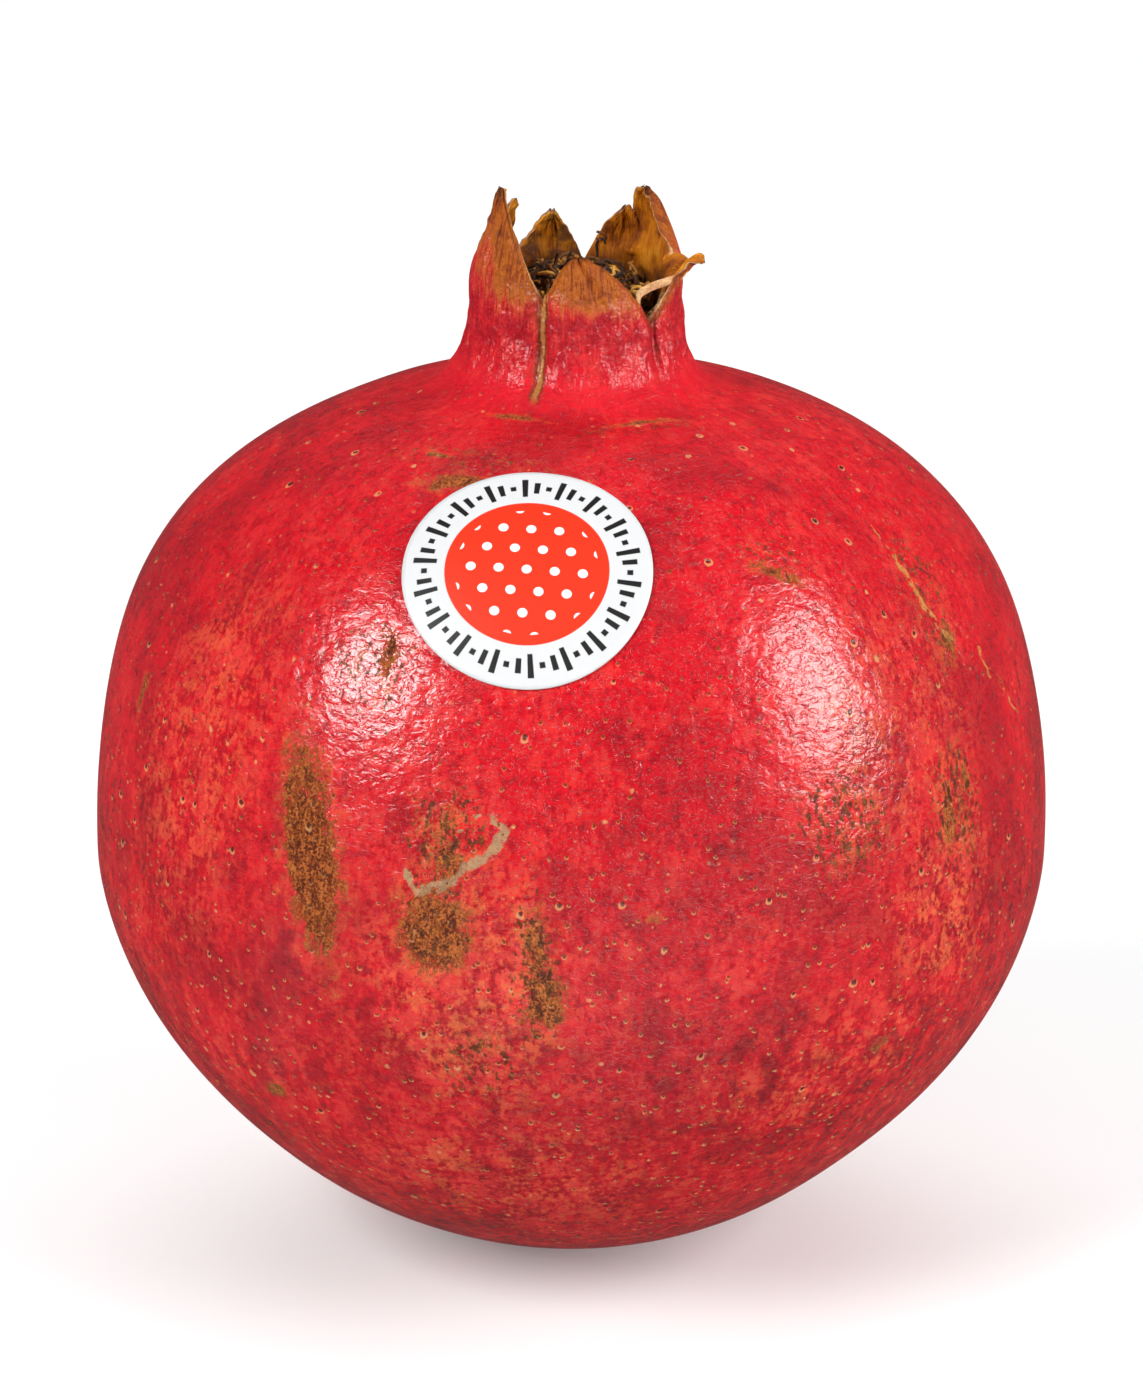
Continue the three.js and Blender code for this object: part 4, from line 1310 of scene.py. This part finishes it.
def label_print():
    made, shader, place = begin("printed_paper")
    u, v = mark(place, "label_x"), mark(place, "label_y")
    away = (u * u + v * v) ** 0.5
    turn = v.maths("ARCTAN2", u) / (2 * math.pi) + 0.5
    bars = turn * BARS
    aside = bars.maths("FRACT")
    # three lengths of bar take turns
    kind = bars.maths("FLOOR").maths("MODULO", 3.0)
    half_length = BAR_HALF_LENGTH + BAR_HALF_LENGTH_STEP * kind
    bar = (half_length - abs(away - BARS_RADIUS)).over(-0.05, 0.05)
    bar = bar * (BAR_HALF_WIDTH - abs(aside - 0.5)).over(-0.03, 0.03)
    colour = place.node("RGB")
    colour.socket.default_value = PAPER_WHITE
    colour = colour.tint(PRINT_BLACK, bar)
    colour = colour.tint(PRINT_RED, away.over(FIELD_RADIUS + 0.09, FIELD_RADIUS))
    # dots in rows, each second row moved by half a step
    row = (v / DOT_ROW).maths("ROUND")
    shift = (row + 20.0).maths("MODULO", 2.0) * (DOT_STEP / 2)
    column = (u + shift) / DOT_STEP
    du = (column - column.maths("ROUND")) * DOT_STEP
    dv = v - row * DOT_ROW
    dots = ((du * du + dv * dv) ** 0.5).over(DOT_RADIUS + 0.08, DOT_RADIUS)
    dots = dots * away.over(DOTS_REACH + 0.1, DOTS_REACH)
    colour = colour.tint(DOT_WHITE, dots)
    fibre = place.noise(2.5, 3, 0.6)
    gloss = dict(IOR=1.5, Coat_Weight=0.3, Coat_Roughness=0.15)
    return dress(made, shader, colour, 0.34 + fibre * 0.12, fibre, 0.03, **gloss)


label = make_label()
label.data.materials.append(label_print())
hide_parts("label")
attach(label, "root")

# The camera, the light and the floor
# The fruit stands on a white table between two large soft lamps, and is seen from a little above.

CAMERA_DISTANCE = 520
CAMERA_RISE = 17
CAMERA_AIM = 55.9
FOCAL_PIXELS = 5205
FRAME_HEIGHT_PIXELS = 1376
SENSOR = 36
LAMPS_AIM = 50
FLOOR_REACH = 4
TABLE_WHITE = (0.7, 0.71, 0.71, 1)
STUDIO_GLOW = 0.08

camera = bpy.data.objects.new("camera", bpy.data.cameras.new("camera"))
bpy.context.collection.objects.link(camera)
camera.data.sensor_width = SENSOR
camera.data.lens = FOCAL_PIXELS * SENSOR / FRAME_HEIGHT_PIXELS
camera.data.clip_start = 0.01
rise = math.radians(CAMERA_RISE)
aim = Vector((0, 0, CAMERA_AIM * MM))
camera.location = aim + Vector((0, -math.cos(rise), math.sin(rise))) * CAMERA_DISTANCE * MM
camera.rotation_euler = (math.pi / 2 - rise, 0, 0)
bpy.context.scene.camera = camera


def lamp(name, angle, lift, distance, width, height, power):
    """A soft lamp in metres and watts, that many degrees round from the front and up from the table."""
    light = bpy.data.lights.new(name, "AREA")
    light.shape = "RECTANGLE"
    light.size = width
    light.size_y = height
    light.energy = power
    holder = bpy.data.objects.new(name, light)
    level = math.radians(lift)
    turn = math.radians(angle)
    way = Vector((math.sin(turn) * math.cos(level), -math.cos(turn) * math.cos(level), math.sin(level)))
    holder.location = Vector((0, 0, LAMPS_AIM * MM)) + way * distance
    holder.rotation_euler = (-way).to_track_quat("-Z", "Y").to_euler()
    bpy.context.collection.objects.link(holder)
    return holder


lamp("lamp_left", angle=-50.5, lift=35, distance=0.9, width=0.46, height=0.44, power=8.2)
lamp("lamp_right", angle=69.5, lift=25.5, distance=0.9, width=0.62, height=0.56, power=9.2)
# these fill the shadows, and make no highlights on the rind
for fill in (
    lamp("lamp_top", angle=0, lift=84, distance=1.2, width=1.4, height=1.0, power=2),
    lamp("lamp_back", angle=180, lift=42, distance=1.5, width=1.8, height=1.0, power=17),
    lamp("lamp_front", angle=0, lift=20, distance=1.4, width=0.8, height=0.8, power=0.2),
):
    fill.visible_glossy = False

world = bpy.data.worlds.new("studio")
world.use_nodes = True
world.node_tree.nodes["Background"].inputs["Color"].default_value = (1, 1, 1, 1)
world.node_tree.nodes["Background"].inputs["Strength"].default_value = STUDIO_GLOW
bpy.context.scene.world = world

floor_mesh = bpy.data.meshes.new("floor")
corners = [(x * FLOOR_REACH, y * FLOOR_REACH, 0) for x, y in ((-1, -1), (1, -1), (1, 1), (-1, 1))]
floor_mesh.from_pydata(corners, [], [(0, 1, 2, 3)])
floor = bpy.data.objects.new("floor", floor_mesh)
bpy.context.collection.objects.link(floor)
table_top, table_shader, _ = begin("white_table")
glow = dict(Specular_IOR_Level=0.1, Emission_Color=(1, 1, 1, 1), Emission_Strength=0.2)
dress(table_top, table_shader, TABLE_WHITE, 0.9, **glow)
floor_mesh.materials.append(table_top)
floor.visible_glossy = False

bpy.context.scene.view_settings.view_transform = "Standard"
